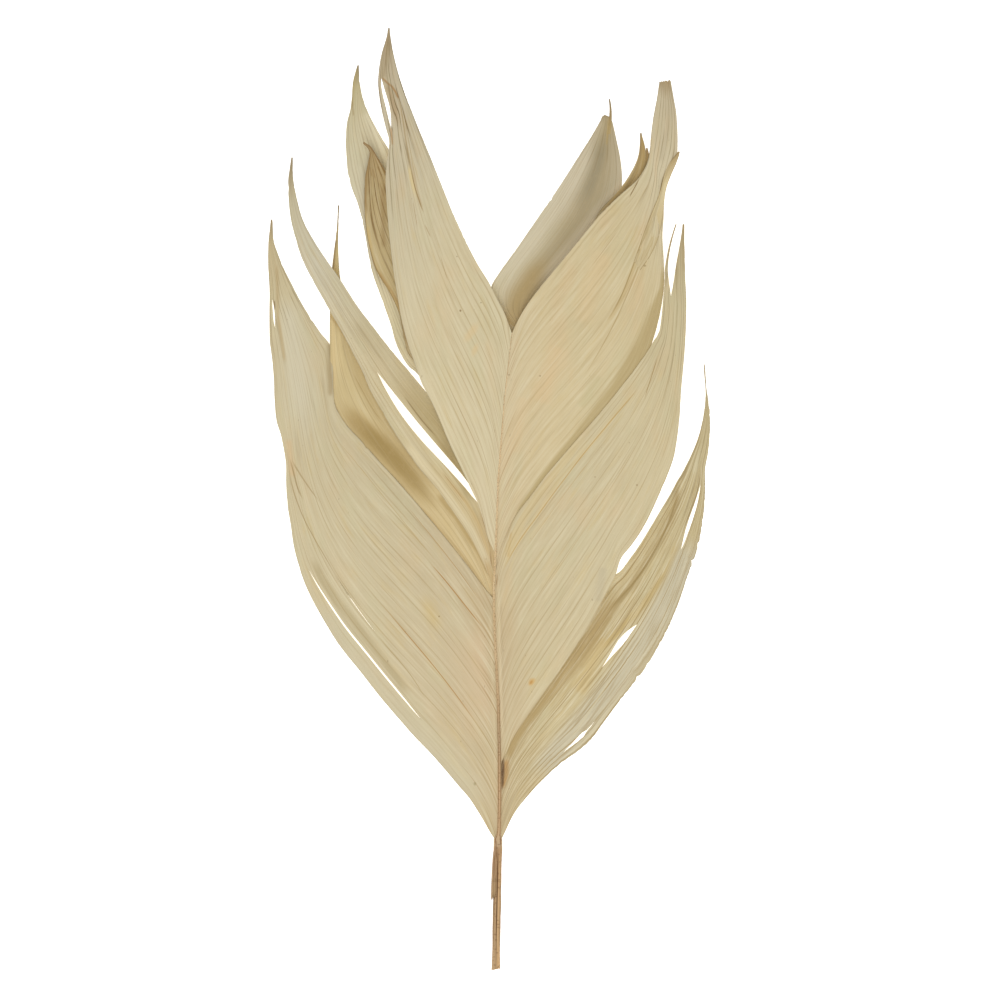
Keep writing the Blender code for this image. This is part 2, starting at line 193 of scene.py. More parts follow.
class LeafShape:  # u runs from a leaflet's inner to its outer edge, and v to its tip
    def __init__(self, leaf):
        self.leaf = leaf
        if "root" in leaf:
            self.roots = hairpin(np.linspace(*leaf["root"], len(rootShares)))
            self.roots[:, 2] += np.interp(rootShares, [0, 1], leaf["layer"]) * mm
            edges = [(leaf[edge], leaf[edge + "Heights"]) for edge in ("inner", "outer")]
        else:  # a strip that lies on the leaflet that carries it
            carrier = shapes[leaf["on"]]
            edges = []
            ends = []
            for edge in ("inner", "outer"):
                levels = carrier.heights(evenPoints(leaf[edge], 9)[0]) / mm
                levels += np.linspace(*leaf["lift"], len(levels))
                ends.append(np.append(onSheet(leaf[edge][0])[0], levels[0] * mm))
                edges.append((leaf[edge][1:], levels[1:]))
            self.roots = ends[0] + rootShares[:, None] * (ends[1] - ends[0])
        self.inner, innerLength = edgeLine(self.roots[0], *edges[0])
        self.outer, outerLength = edgeLine(self.roots[-1], *edges[1])
        self.length = (innerLength + outerLength) / 2
        across = (self.outer - self.inner)[:, :2]
        along = np.gradient((self.outer + self.inner)[:, :2] / 2, axis=0)
        along /= np.linalg.norm(along, axis=1)[:, None]
        self.widths = np.abs(across[:, 0] * along[:, 1] - across[:, 1] * along[:, 0])
        wide = smoothStep(self.widths, 8 * pixel, 45 * pixel)[:, None]  # narrow ends keep their bends
        self.calmInner = self.inner + (calmed(self.inner) - self.inner) * wide
        self.calmOuter = self.outer + (calmed(self.outer) - self.outer) * wide

    def points(self, u, v):
        inner, outer, near, far = (
            columnsAt(edge, edgeShares, v)
            for edge in (self.inner, self.outer, self.calmInner, self.calmOuter)
        )
        share = u[:, None]
        bend = (inner - near) * (1 - share) ** bendFade + (outer - far) * share ** bendFade
        root = columnsAt(self.roots, rootShares, u)
        chord = self.roots[0] * (1 - share) + self.roots[-1] * share
        flat = near * (1 - share) + far * share + (root - chord) * ((1 - v) ** rootFade)[:, None]
        flat += bend
        flat[:, 2] += self.leaf["arch"] * mm * 4 * u * (1 - u) * np.sin(math.pi * v)
        return flat

    def find(self, drawn):  # u and v of points drawn on the sheet
        u, v = (axis.ravel() for axis in np.meshgrid(np.linspace(0, 1, 161), np.linspace(0, 1, 401)))
        targets = onSheet(drawn)
        nearest = nearestTo(self.points(u, v)[:, :2], targets)
        u, v = u[nearest], v[nearest]
        nudge = 0.002
        for _ in range(6):  # closes in on the exact place
            byU = (self.points(u + nudge, v) - self.points(u - nudge, v))[:, :2] / (2 * nudge)
            byV = (self.points(u, v + nudge) - self.points(u, v - nudge))[:, :2] / (2 * nudge)
            error = targets - self.points(u, v)[:, :2]
            area = byU[:, 0] * byV[:, 1] - byU[:, 1] * byV[:, 0]
            area = np.where(np.abs(area) < 1e-7, 1e-7, area)
            u = np.clip(u + (error[:, 0] * byV[:, 1] - error[:, 1] * byV[:, 0]) / area, 0, 1)
            v = np.clip(v + (error[:, 1] * byU[:, 0] - error[:, 0] * byU[:, 1]) / area, 0, 1)
        return u, v

    def heights(self, drawn):  # of the finished leaflet
        return self.surface[nearestTo(self.surface[:, :2], onSheet(drawn)), 2]


def distanceTo(places, line):  # from a drawn line, with the share along it and the side, 1 to its left
    line = onSheet(line)
    starts = travelled(line)
    best = np.full(len(places), 1e9)
    share = np.zeros(len(places))
    side = np.ones(len(places))
    for k, (start, end) in enumerate(zip(line, line[1:])):
        length = np.linalg.norm(end - start)
        step = (end - start) / length
        offset = places - start
        t = np.clip(offset @ step, 0, length)
        distance = np.linalg.norm(offset - t[:, None] * step, axis=1)
        closer = distance < best
        best = np.where(closer, distance, best)
        share = np.where(closer, (starts[k] + t) / starts[-1], share)
        turn = step[0] * offset[:, 1] - step[1] * offset[:, 0]
        side = np.where(closer, np.where(turn >= 0, 1, -1), side)
    return best, share, side


def reachAt(drawn, share, side):  # the left of a line that runs down is the picture's right
    reach = np.atleast_2d(np.array(drawn["reach"], float))
    stations = np.linspace(0, 1, len(reach))
    left, right = (np.interp(share, stations, reach[:, k]) for k in (0, -1))
    return np.where(side > 0, right, left)


def ripple(places, seed, size):  # a calm, repeatable unevenness between about -1 and 1
    luck = np.random.default_rng(seed)
    total = np.zeros(len(places))
    for _ in range(6):
        direction = luck.uniform(0, math.tau)
        wave = places @ np.array([math.cos(direction), math.sin(direction)]) / size
        total += np.sin(math.tau * wave * luck.uniform(0.5, 1.4) + luck.uniform(0, math.tau))
    return total / 3


def lineRipple(values, seed, size):  # the same along a single direction
    return ripple(np.column_stack([values, values * 0]), seed, size)


def toMode(mode):
    bpy.ops.object.mode_set(mode=mode)


def deselectAll():
    if bpy.context.object and bpy.context.object.mode != "OBJECT":
        toMode("OBJECT")
    bpy.ops.object.select_all(action="DESELECT")


def newSheet(name, columns, rows):  # a flat grid, still to be laid in its place
    deselectAll()
    bpy.ops.mesh.primitive_grid_add(
        x_subdivisions=columns, y_subdivisions=rows, size=1, calc_uvs=True, location=(0, 0, 0)
    )
    sheet = bpy.context.active_object
    sheet.name = sheet.data.name = name
    return sheet


def readRows(items, attribute, width, kind=float):  # one attribute of all vertices, edges or corners
    rows = np.empty(len(items) * width, kind)
    items.foreach_get(attribute, rows)
    return rows.reshape(-1, width)


def flatPoints(mesh):  # a new sheet's points, from 0 to 1 across and along
    return readRows(mesh.vertices, "co", 3)[:, :2] + 0.5


def faceCorners(mesh):
    return readRows(mesh.loops, "vertex_index", 1, int).reshape(-1, 4)


def layDown(sheet, places):
    sheet.data.vertices.foreach_set("co", places.ravel())
    sheet.data.update()


def thicken(sheet, thick):
    thickness = sheet.modifiers.new("Thickness", "SOLIDIFY")
    thickness.thickness = thick
    thickness.offset = 0
    bpy.ops.object.modifier_apply(modifier=thickness.name)


def faceOutwards():  # in edit mode, and then back
    bpy.ops.mesh.select_all(action="SELECT")
    bpy.ops.mesh.normals_make_consistent(inside=False)
    toMode("OBJECT")


def cutSlits(mesh, slits):  # splits the grid along each slit's column between its ends
    flat = flatPoints(mesh)
    pairs = readRows(mesh.edges, "vertices", 2, int)
    chosen = np.zeros(len(pairs), bool)
    for cut in slits:
        inColumn = np.abs(flat[:, 0] - cut["column"]) < onColumn
        between = (flat[:, 1] > cut["start"] - onColumn) & (flat[:, 1] < cut["end"] + onColumn)
        chosen |= (inColumn & between)[pairs].all(axis=1)
    toMode("EDIT")
    bpy.ops.mesh.select_mode(type="EDGE")
    bpy.ops.mesh.select_all(action="DESELECT")
    toMode("OBJECT")
    mesh.edges.foreach_set("select", chosen)
    toMode("EDIT")
    bpy.ops.mesh.edge_split(type="EDGE")
    toMode("OBJECT")


def sidesOfSlit(mesh, flat, column):  # -1 on the inner side of a slit, 1 on its outer side
    corners = faceCorners(mesh)
    middles = flat[corners, 0].mean(axis=1)
    total = np.zeros(len(flat))
    count = np.zeros(len(flat))
    np.add.at(total, corners, np.sign(middles - column)[:, None])
    np.add.at(count, corners, 1)
    return np.round(total / count)


def readSlits(shape, leaf, columns, rows):
    slits = []
    for cut in leaf["slits"]:
        u, v = shape.find(cut["line"])
        order = np.argsort(v)
        run = np.linspace(v.min(), v.max(), 40)
        course = np.polyval(np.polyfit(v, u, 3), run)
        slits.append(dict(
            column=round(float(course.mean()) * columns) / columns,
            start=round(float(v.min()) * rows) / rows,
            end=1.0 if cut["toTip"] else round(float(v.max()) * rows) / rows,
            run=run, course=course, v=v[order], gap=np.array(cut["gap"], float)[order] * pixel,
        ))
    return sorted(slits, key=lambda cut: cut["column"])


def followSlits(u, v, slits, rows):  # each slit pulls its column onto its drawn line
    rowOf = np.round(v * rows).astype(int)
    for row in range(rows + 1):
        place = row / rows
        here = rowOf == row
        targets = []
        for cut in slits:
            beyond = max(cut["start"] - place, place - cut["end"], 0)
            ease = 1 - smoothStep(beyond, 0, 0.2)
            drawn = np.interp(place, cut["run"], cut["course"])
            targets.append(cut["column"] + (drawn - cut["column"]) * ease)
        stops = [0] + [cut["column"] for cut in slits] + [1]
        u[here] = np.interp(u[here], stops, [0] + targets + [1])
    return u


def slitOpening(mesh, flat, v, cut):  # how far each point moves across the leaflet for a slit
    column = cut["column"]
    side = np.where(np.abs(flat[:, 0] - column) < onColumn, sidesOfSlit(mesh, flat, column),
                    np.sign(flat[:, 0] - column))
    last = cut["gap"][-1] if cut["end"] == 1.0 else 0
    inside = (v > cut["start"]) & (v < cut["end"]) | ((v >= 1) & (last > 0))
    half = np.where(inside, np.interp(v, cut["v"], cut["gap"] / 2), 0)
    taper = np.where(side < 0, flat[:, 0] / column, (1 - flat[:, 0]) / (1 - column))
    return half * side * taper


def tornEdges(leaf, length, u, v, width):  # small bites along both edges, and a frayed end
    seed = leaf["seed"]
    for edge, amount in enumerate(leaf["ragged"]):
        places = np.column_stack([v * length, np.full(len(v), edge * 0.37)])
        bite = np.abs(ripple(places, seed + edge, unevenSizes["bite"])) ** 3
        bite += 0.5 * np.abs(ripple(places, seed + 7 + edge, unevenSizes["nick"])) ** 2
        share = np.minimum(amount * pixel * bite * smoothStep(v, 0.1, 0.2) / width, 0.2)
        u = u + share * (1 - u) ** 5 if edge == 0 else u - share * u ** 5
    fray = leaf["fray"] * np.abs(lineRipple(u, seed + 3, 0.35))
    return u, v - fray * pixel / length * smoothStep(v, 0.96, 1)


def relief(leaf, shape, places, ribs, v, width):  # pleats, slow waves and creases, as heights
    calm = np.sin(math.pi * np.clip(v, 0, 1)) ** 0.4
    depth = np.minimum(leaf["pleatDepth"] * mm, 0.03 * width / leaf["pleats"])
    bands = np.column_stack([ribs * shape.widths.max(), v * shape.length * 0.05])
    height = depth * np.cos(math.tau * leaf["pleats"] * ribs)
    height += leaf["wave"] * mm * ripple(places[:, :2], leaf["seed"], unevenSizes["wave"])
    height += leaf["bands"] * mm * ripple(bands, leaf["seed"] + 2, unevenSizes["band"])
    height *= calm
    for crease in leaf["folds"]:
        distance, share, side = distanceTo(places[:, :2], crease["line"])
        profile = np.clip(1 - distance / (reachAt(crease, share, side) * mm), 0, 1)
        if crease["rounded"]:
            profile = smoothStep(profile, 0, 1)
        height += crease["rise"] * mm * profile * faded(share, crease["ends"])
    return height


def restDrop(edge, below):  # how far an edge sinks to lie on the surface below it
    drop = np.zeros(len(edge))
    for k, place in enumerate(edge):
        apart = ((below[:, :2] - place[:2]) ** 2).sum(axis=1)
        nearest = np.argmin(apart)
        if apart[nearest] < resting["near"] ** 2:
            above = place[2] - below[nearest, 2]
            drop[k] = np.clip(above - resting["gap"], -resting["rise"], resting["sink"])
    spread = np.hanning(2 * resting["rows"] + 3)[1:-1]
    return np.convolve(np.pad(drop, resting["rows"]), spread / spread.sum(), mode="valid")


# Strokes lay stains and strips, and also painted shadows and painted light.
def paint(places, strokes):  # drawn shades: a colour weighed by its amount, and that amount
    painted = np.zeros((len(places), 4))
    for drawn in strokes:
        distance, share, side = distanceTo(places[:, :2], drawn["line"])
        far = distance / (np.maximum(reachAt(drawn, share, side), 0.05) * pixel)
        weight = (1 - smoothStep(far, drawn["core"], 1)) * faded(share, drawn["ends"], 0.001)
        weight *= drawn["strength"]
        tone = np.array(tint(*shades.get(drawn["colour"], drawn["colour"]))[:3])
        painted[:, :3] = painted[:, :3] * (1 - weight[:, None]) + tone * weight[:, None]
        painted[:, 3] += weight * (1 - painted[:, 3])
    return painted


def readVeins(leaf, places, ribs, v):  # each vein as a curve of u by v that the material draws
    veins = []
    for drawn in leaf["veins"]:
        found = nearestTo(places[:, :2], onSheet(evenPoints(drawn["line"], 30)[0]))
        curve = np.polyfit(v[found], ribs[found], min(3, len(drawn["line"]) - 1))
        veins.append(dict(drawn, curve=[float(part) for part in curve],
                          start=float(v[found].min()), end=float(v[found].max())))
    return veins


def growLeaflet(name, leaf):
    leaf = plainLeaf | leaf
    shape = shapes[name] = LeafShape(leaf)
    columns, rows = leaf["grid"]
    sheet = newSheet(name, columns, rows)
    mesh = sheet.data
    slits = readSlits(shape, leaf, columns, rows)
    if slits:
        cutSlits(mesh, slits)
    flat = flatPoints(mesh)
    u, v = flat[:, 0].copy(), np.clip(flat[:, 1], 0, 1)
    width = np.maximum(np.interp(v, edgeShares, shape.widths), 0.3 * mm)
    if slits:
        u = followSlits(u, v, slits, rows)
    ribs = u.copy()  # the ribs run straight past the slits
    u, v = tornEdges(leaf, shape.length, u, v, width)

    places = shape.points(u, v)
    across = shape.points(np.minimum(u + 0.01, 1), v) - shape.points(np.maximum(u - 0.01, 0), v)
    across /= np.maximum(np.linalg.norm(across, axis=1), 1e-9)[:, None]
    places += across * ((u - 0.5) * 2 * leaf["swell"] * pixel)[:, None]
    for cut in slits:
        opened = slitOpening(mesh, flat, v, cut)
        places += across * opened[:, None]
        ribs += opened / width
    if "root" in leaf:  # ribs leave the midrib almost along it and then turn outwards
        shift = midrib["ribShift"] / abs(leaf["root"][1] - leaf["root"][0])
        ribs -= shift * np.exp(-fromMidrib(places) / midrib["ribTurn"])
    unwrapped = np.column_stack([ribs, flat[:, 1]])[faceCorners(mesh).ravel()]
    mesh.uv_layers.active.data.foreach_set("uv", unwrapped.ravel())

    places[:, 2] += relief(leaf, shape, places, ribs, v, width)
    for column, below in leaf["rests"]:
        onEdge = np.abs(flat[:, 0] - column) < onColumn
        drop = restDrop(places[onEdge], shapes[below].surface)
        near = 1 - smoothStep(np.abs(flat[:, 0] - column) * width, 0, resting["reach"])
        places[:, 2] -= np.interp(flat[:, 1], flat[onEdge, 1], drop) * near
    places[:, 2] = np.maximum(places[:, 2], lowest)
    shape.surface = places

    mesh.attributes.new("leafWidth", "FLOAT", "POINT").data.foreach_set("value", width / mm)
    painted = mesh.attributes.new("painted", "FLOAT_COLOR", "POINT")
    painted.data.foreach_set("color", paint(places, leaf["strokes"]).ravel())
    layDown(sheet, places)
    thicken(sheet, leafThickness)
    toMode("EDIT")
    faceOutwards()
    bpy.ops.object.shade_smooth_by_angle(angle=smoothAngle)

    veins = readVeins(leaf, places, ribs, v)
    sheet.data.materials.append(leafFinish(name, leaf, float(shape.length / mm), veins))
    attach(sheet, "root")
    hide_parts("blade")
    print("Leaflet:", name, len(mesh.polygons), "faces")


def tint(red, green, blue):  # a colour as the picture shows it, as a surface colour
    def linear(value):
        value = value / 255
        return value / 12.92 if value <= 0.04045 else ((value + 0.055) / 1.055) ** 2.4
    return tuple(min(linear(value), 0.95) for value in (red, green, blue)) + (1.0,)


class Value:  # a socket that takes part in Python expressions
    def __init__(self, finish, socket):
        self.finish = finish
        self.socket = socket

    def __add__(self, other):
        return self.finish.maths("ADD", self, other)

    def __sub__(self, other):
        return self.finish.maths("SUBTRACT", self, other)

    def __rsub__(self, other):
        return self.finish.maths("SUBTRACT", other, self)

    def __mul__(self, other):
        return self.finish.maths("MULTIPLY", self, other)

    def __truediv__(self, other):
        return self.finish.maths("DIVIDE", self, other)

    __radd__ = __add__
    __rmul__ = __mul__

    def output(self, index):
        return Value(self.finish, self.socket.node.outputs[index])


class Finish:  # a material under construction; colour is its base colour so far
    def __init__(self, name):
        self.material = bpy.data.materials.new(name)
        self.material.use_nodes = True
        self.tree = self.material.node_tree
        self.shader = self.tree.nodes["Principled BSDF"]

    def node(self, kind, settings, sockets, output=0):
        made = self.tree.nodes.new(kind)
        for key, value in settings.items():
            if key == "stops":
                ramp = made.color_ramp
                while len(ramp.elements) < len(value):
                    ramp.elements.new(0.5)
                for element, (place, tone) in zip(ramp.elements, value):
                    element.position = place
                    element.color = tint(*tone)
            else:
                setattr(made, key, value)
        self.put(made, sockets)
        return Value(self, made.outputs[output])

    def put(self, node, sockets):  # values or links for a node's own sockets
        for key, value in sockets.items():
            if isinstance(value, Value):
                self.tree.links.new(value.socket, node.inputs[key])
            else:
                node.inputs[key].default_value = value

    def maths(self, operation, first, second=0.0):
        return self.node("ShaderNodeMath", dict(operation=operation), {0: first, 1: second})

    def step(self, value, low, high):
        return self.node("ShaderNodeMapRange", dict(interpolation_type="SMOOTHSTEP"),
                         {"Value": value, "From Min": low, "From Max": high})

    def blend(self, factor, first, second, way="MIX"):
        return self.node("ShaderNodeMix", dict(data_type="RGBA", blend_type=way),
                         {0: factor, 6: first, 7: second}, output=2)

    def lay(self, mask, tone):  # a tone over the colour so far, where the mask is above 0
        self.colour = self.blend(mask, self.colour, tint(*tone))

    def place(self, x, y, z=0.0):
        return self.node("ShaderNodeCombineXYZ", {}, {"X": x, "Y": y, "Z": z})

    def noise(self, x, y, z, detail=2.0, rough=0.5):
        return self.node("ShaderNodeTexNoise", dict(noise_dimensions="3D"), {
            "Vector": self.place(x, y, z), "Scale": 1.0, "Detail": detail, "Roughness": rough})

    def cells(self, x, y, z, scale):
        return self.node("ShaderNodeTexVoronoi", dict(voronoi_dimensions="2D"),
                         {"Vector": self.place(x, y, z), "Scale": scale, "Randomness": 1.0})

    def unwrapped(self):  # u across a piece and v along it
        uv = self.node("ShaderNodeUVMap", dict(uv_map="UVMap"), {})
        parts = self.node("ShaderNodeSeparateXYZ", {}, {"Vector": uv})
        return parts, parts.output(1)

    def complete(self, roughness, height, strength):  # strength is the same all over the surface
        bump = self.node("ShaderNodeBump", {},
                         {"Height": height, "Distance": 0.001, "Strength": strength})
        self.put(self.shader, {"Base Color": self.colour, "Roughness": roughness, "Normal": bump})
        return self.material


# Tones that all the leaflets share, as the picture shows them.
# groove and line darken the ribs' grooves and ridge lightens their ridges: partly painted shade and
# light.
leafColours = dict(
    peach=(214, 186, 142), moss=(200, 192, 152), straw=(208, 184, 128), brown=(158, 122, 72),
    dark=(110, 84, 50), groove=(172, 150, 104), ridge=(222, 210, 176), line=(168, 144, 98),
)


def leafFinish(name, leaf, length, veins):
    finish = Finish(name)
    u, v = finish.unwrapped()
    width = finish.node("ShaderNodeAttribute", dict(attribute_name="leafWidth"), {}, output=2)
    place = finish.node("ShaderNodeTexCoord", {}, {}, output=3)
    along = v * length  # mm
    seed, ribs, mean, groove = leaf["seed"], leaf["ribs"], leaf["mean"], leaf["groove"]
    rooted = "root" in leaf

    def grown(across, forward, shift, detail=2.0, rough=0.5):  # noise that is drawn out along the ribs
        return finish.noise(u * across, along * forward, seed + shift, detail, rough)

    finish.colour = finish.node("ShaderNodeValToRGB", dict(stops=leaf["along"]), {"Fac": v})

    # Broad clouds of peach, grey green and straw, a little drawn out along the ribs.
    cloud = finish.step(grown(mean * 0.05, 0.025, 0, 3.0), 0.5, 0.7)
    finish.lay(cloud * leaf["peach"], leafColours["peach"])
    cool = finish.step(grown(mean * 0.07, 0.03, 11, 3.0), 0.48, 0.68)
    finish.lay(cool * leaf["moss"], leafColours["moss"])
    streak = finish.step(grown(ribs * 0.35, 0.035, 3, 3.0, 0.6), 0.5, 0.75)
    finish.lay(streak * leaf["streak"], leafColours["straw"])

    # The drawn tones: painted shadow, painted light, stains and pale strips.
    painted = finish.node("ShaderNodeAttribute", dict(attribute_name="painted"), {})
    amount = painted.output(3)
    bare = finish.blend(amount, finish.colour, (0, 0, 0, 1))
    finish.colour = finish.blend(1.0, bare, painted, way="ADD")

    # Fine ribs: long light and dark fibres, shorter ones, and thin grooves of which only some show.
    # They follow the bump: the leaf's own streaks, with painted light on ridges and painted shade in
    # grooves.
    near = finish.step(width / ribs, 0.25, 0.9)
    fibre = grown(ribs * 1.3, 0.018, 6, rough=0.6)
    short = grown(ribs * 1.6, 0.07, 9, rough=0.6)
    # The painted light on the ridges is weaker under painted shadow.
    ridge = (1 - amount * 0.65) * leaf["ridge"]
    finish.lay(finish.step(fibre, 0.5, 0.3) * (groove * 0.8), leafColours["groove"])
    finish.lay(finish.step(fibre, 0.5, 0.7) * ridge, leafColours["ridge"])
    finish.lay(finish.step(short, 0.5, 0.25) * (groove * 0.45), leafColours["groove"])
    finish.lay(finish.step(short, 0.5, 0.75) * ridge * 0.6, leafColours["ridge"])
    drift = grown(5, 0.003, 5, 1.0)
    wave = finish.maths("SINE", (u * (ribs * 0.6) + drift * 1.2) * math.tau)
    line = finish.step(wave, 0.6, 1.0)
    choice = finish.step(grown(ribs * 0.5, 0.012, 8), 0.4, 0.62)
    finish.lay(line * choice * near * leaf["lines"], leafColours["line"])
    tipWave = finish.maths("SINE", (u * (ribs * leaf["tipRibs"]) + drift * 2.0) * math.tau)
    tipChoice = finish.step(grown(ribs, 0.05, 18), 0.3, 0.6) * (1 - finish.step(width, 18, 42))
    finish.lay(finish.step(tipWave, 0.4, 1.0) * tipChoice * leaf["tipLines"], leaf["ribTone"])
    thread = finish.step(grown(ribs * 1.4, 0.011, 23, 1.0), 0.7, 0.8)
    finish.lay(thread * near * leaf["threads"], leafColours["brown"])
    mottle = finish.step(grown(mean * 0.35, 0.3, 61, 3.0, 0.6), 0.5, 0.75)
    finish.lay(mottle * 0.1, leafColours["peach"])

    for drawn in veins:
        middle = drawn["curve"][0]
        for part in drawn["curve"][1:]:
            middle = middle * v + part
        start, end, wide = drawn["start"], drawn["end"], drawn["wide"]
        away = finish.maths("ABSOLUTE", u - middle) * width
        soften = (end - start) * drawn["soft"]
        begun = finish.step(v, start - 0.002, start + soften)
        ended = finish.step(v, end - soften, end + 0.002)
        inside = (1 - finish.step(away, wide * 0.3, wide)) * begun * (1 - ended)
        finish.lay(inside * drawn["strength"], drawn["colour"])

    for drawn in leaf["stains"]:
        middle = onSheet(drawn["at"])[0]
        radii = [radius * pixel for radius in drawn["size"]]
        shifted = finish.node("ShaderNodeMapping", dict(vector_type="TEXTURE"), {
            "Vector": place, "Location": (*middle, 0), "Scale": (*radii, 1000.0),
            "Rotation": (0, 0, math.radians(drawn["turn"]))})
        far = finish.node("ShaderNodeVectorMath", dict(operation="LENGTH"), {0: shifted}, output=1)
        uneven = far + (grown(ribs * 0.4, 0.08, 31) - 0.5) * 0.7
        finish.lay((1 - finish.step(uneven, drawn["hard"], 1.0)) * drawn["strength"], drawn["colour"])

    # Brown specks.
    spot = finish.cells(u * mean, along, seed, 0.07)
    luck = finish.node("ShaderNodeSeparateColor", {}, {0: spot.output(1)})
    speck = 1 - finish.step(spot / (luck.output(1) * 0.03 + 0.012), 0.5, 1.0)
    finish.lay(speck * finish.step(luck, 0.8, 0.82) * leaf["specks"], leafColours["dark"])

    # Dry edges in the rim's tone, and on the leaflets with a root a foot with darker ribs.
    edge = 1 - finish.step(finish.maths("MINIMUM", u, 1 - u) * width, 0.05, leaf["edgeWidth"])
    if rooted:
        edge = edge * finish.step(along, 15, 40)
    patchy = finish.step(grown(3, 0.07, 41), 0.35, 0.65) * 0.6 + 0.4
    finish.lay(edge * patchy * leaf["edge"], leaf["rim"])
    height = fibre * 0.06 - line * near * 0.02
    if rooted:
        foot = 1 - finish.step(along, 3, leaf["foot"])
        footRib = grown(leaf["footRibs"], 0.02, 51, 1.0)
        finish.lay(foot * finish.step(footRib, 0.54, 0.7) * leaf["footLines"], leafColours["brown"])
        finish.lay(foot * finish.step(footRib, 0.46, 0.3) * 0.5, leafColours["ridge"])
        height = height + footRib * foot * 0.06
    grain = grown(mean * 3, 0.6, 0, 3.0)
    finish.put(finish.shader, {"Specular IOR Level": 0.3})
    return finish.complete(0.55 + fibre * 0.2, height + grain * 0.02, 0.8)


# What a leaflet has where its own dictionary says nothing else. First its shape: ragged, fray and
# swell in sheet units, the depths of waves, bands and pleats in mm. Then what is drawn on it, and its
# look: how strongly each kind of mark shows, with the width of its edge and length of its foot in mm.
plainLeaf = dict(
    ragged=(0.1, 0.1), fray=0, swell=0.5, wave=0.25, bands=0.05, pleatDepth=0.035,
    rests=(), slits=(), folds=(), strokes=(), veins=(), stains=(),
    peach=0.2, moss=0.3, streak=0.35, groove=0.28, ridge=0.4, lines=0.42, threads=0.4, specks=0.45,
    tipLines=0.6, tipRibs=0.18, ribTone=(146, 124, 84),
    edge=0.5, edgeWidth=0.6, rim=(152, 142, 118), foot=26, footRibs=60, footLines=0.5,
)

# Tones that the strokes share, two of them painted shade: halfShadow and the grey-green one. Strokes and
# folds are drawn downwards. A reach is one number, or one to the left and one to the right in the
# picture, or such pairs along the line. It is in sheet units for a stroke and in mm for a fold.
shades = dict(
    fold=(150, 118, 68), halfShadow=(178, 154, 104), cream=(208, 195, 160), olive=(182, 166, 126),
    deep=(122, 90, 46),
)


# A stroke lays a stain or strip, and many strokes lay painted shadow and painted light.
def stroke(line, reach, colour, strength=0.8, core=0, ends=(0.1, 0.1)):  # a soft shade along a line
    return dict(line=line, reach=reach, colour=colour, strength=strength, core=core, ends=ends)


def vein(line, wide, strength, colour=(158, 124, 72), soft=0.25):  # a thin line, wide in mm
    return dict(line=line, wide=wide, strength=strength, colour=colour, soft=soft)


def stain(at, size, strength, colour=(118, 90, 54), turn=0, hard=0.2):  # size is its two radii
    return dict(at=at, size=size, strength=strength, colour=colour, turn=turn, hard=hard)


def fold(line, rise, reach, ends=(0.2, 0.2), rounded=False):  # a ridge, or a crease below 0, in mm
    return dict(line=line, rise=rise, reach=reach, ends=ends, rounded=rounded)


def slit(line, gap, toTip=False):  # a gap whose width is given at each point, in sheet units
    return dict(line=line, gap=gap, toTip=toTip)


# A leaflet's root is its two ends on the line of roots round the midrib, in sheet units, and its layer
# is how many mm it starts above that line. The heights, in mm, lie at even steps along its edges, and
# arch lifts its middle. Its inner edge, 0, or its outer edge, 1, may rest on another leaflet. A strip
# without a root lies on another leaflet instead, lifted by so many mm at its start and end. The grid
# is how many faces each has across and along.

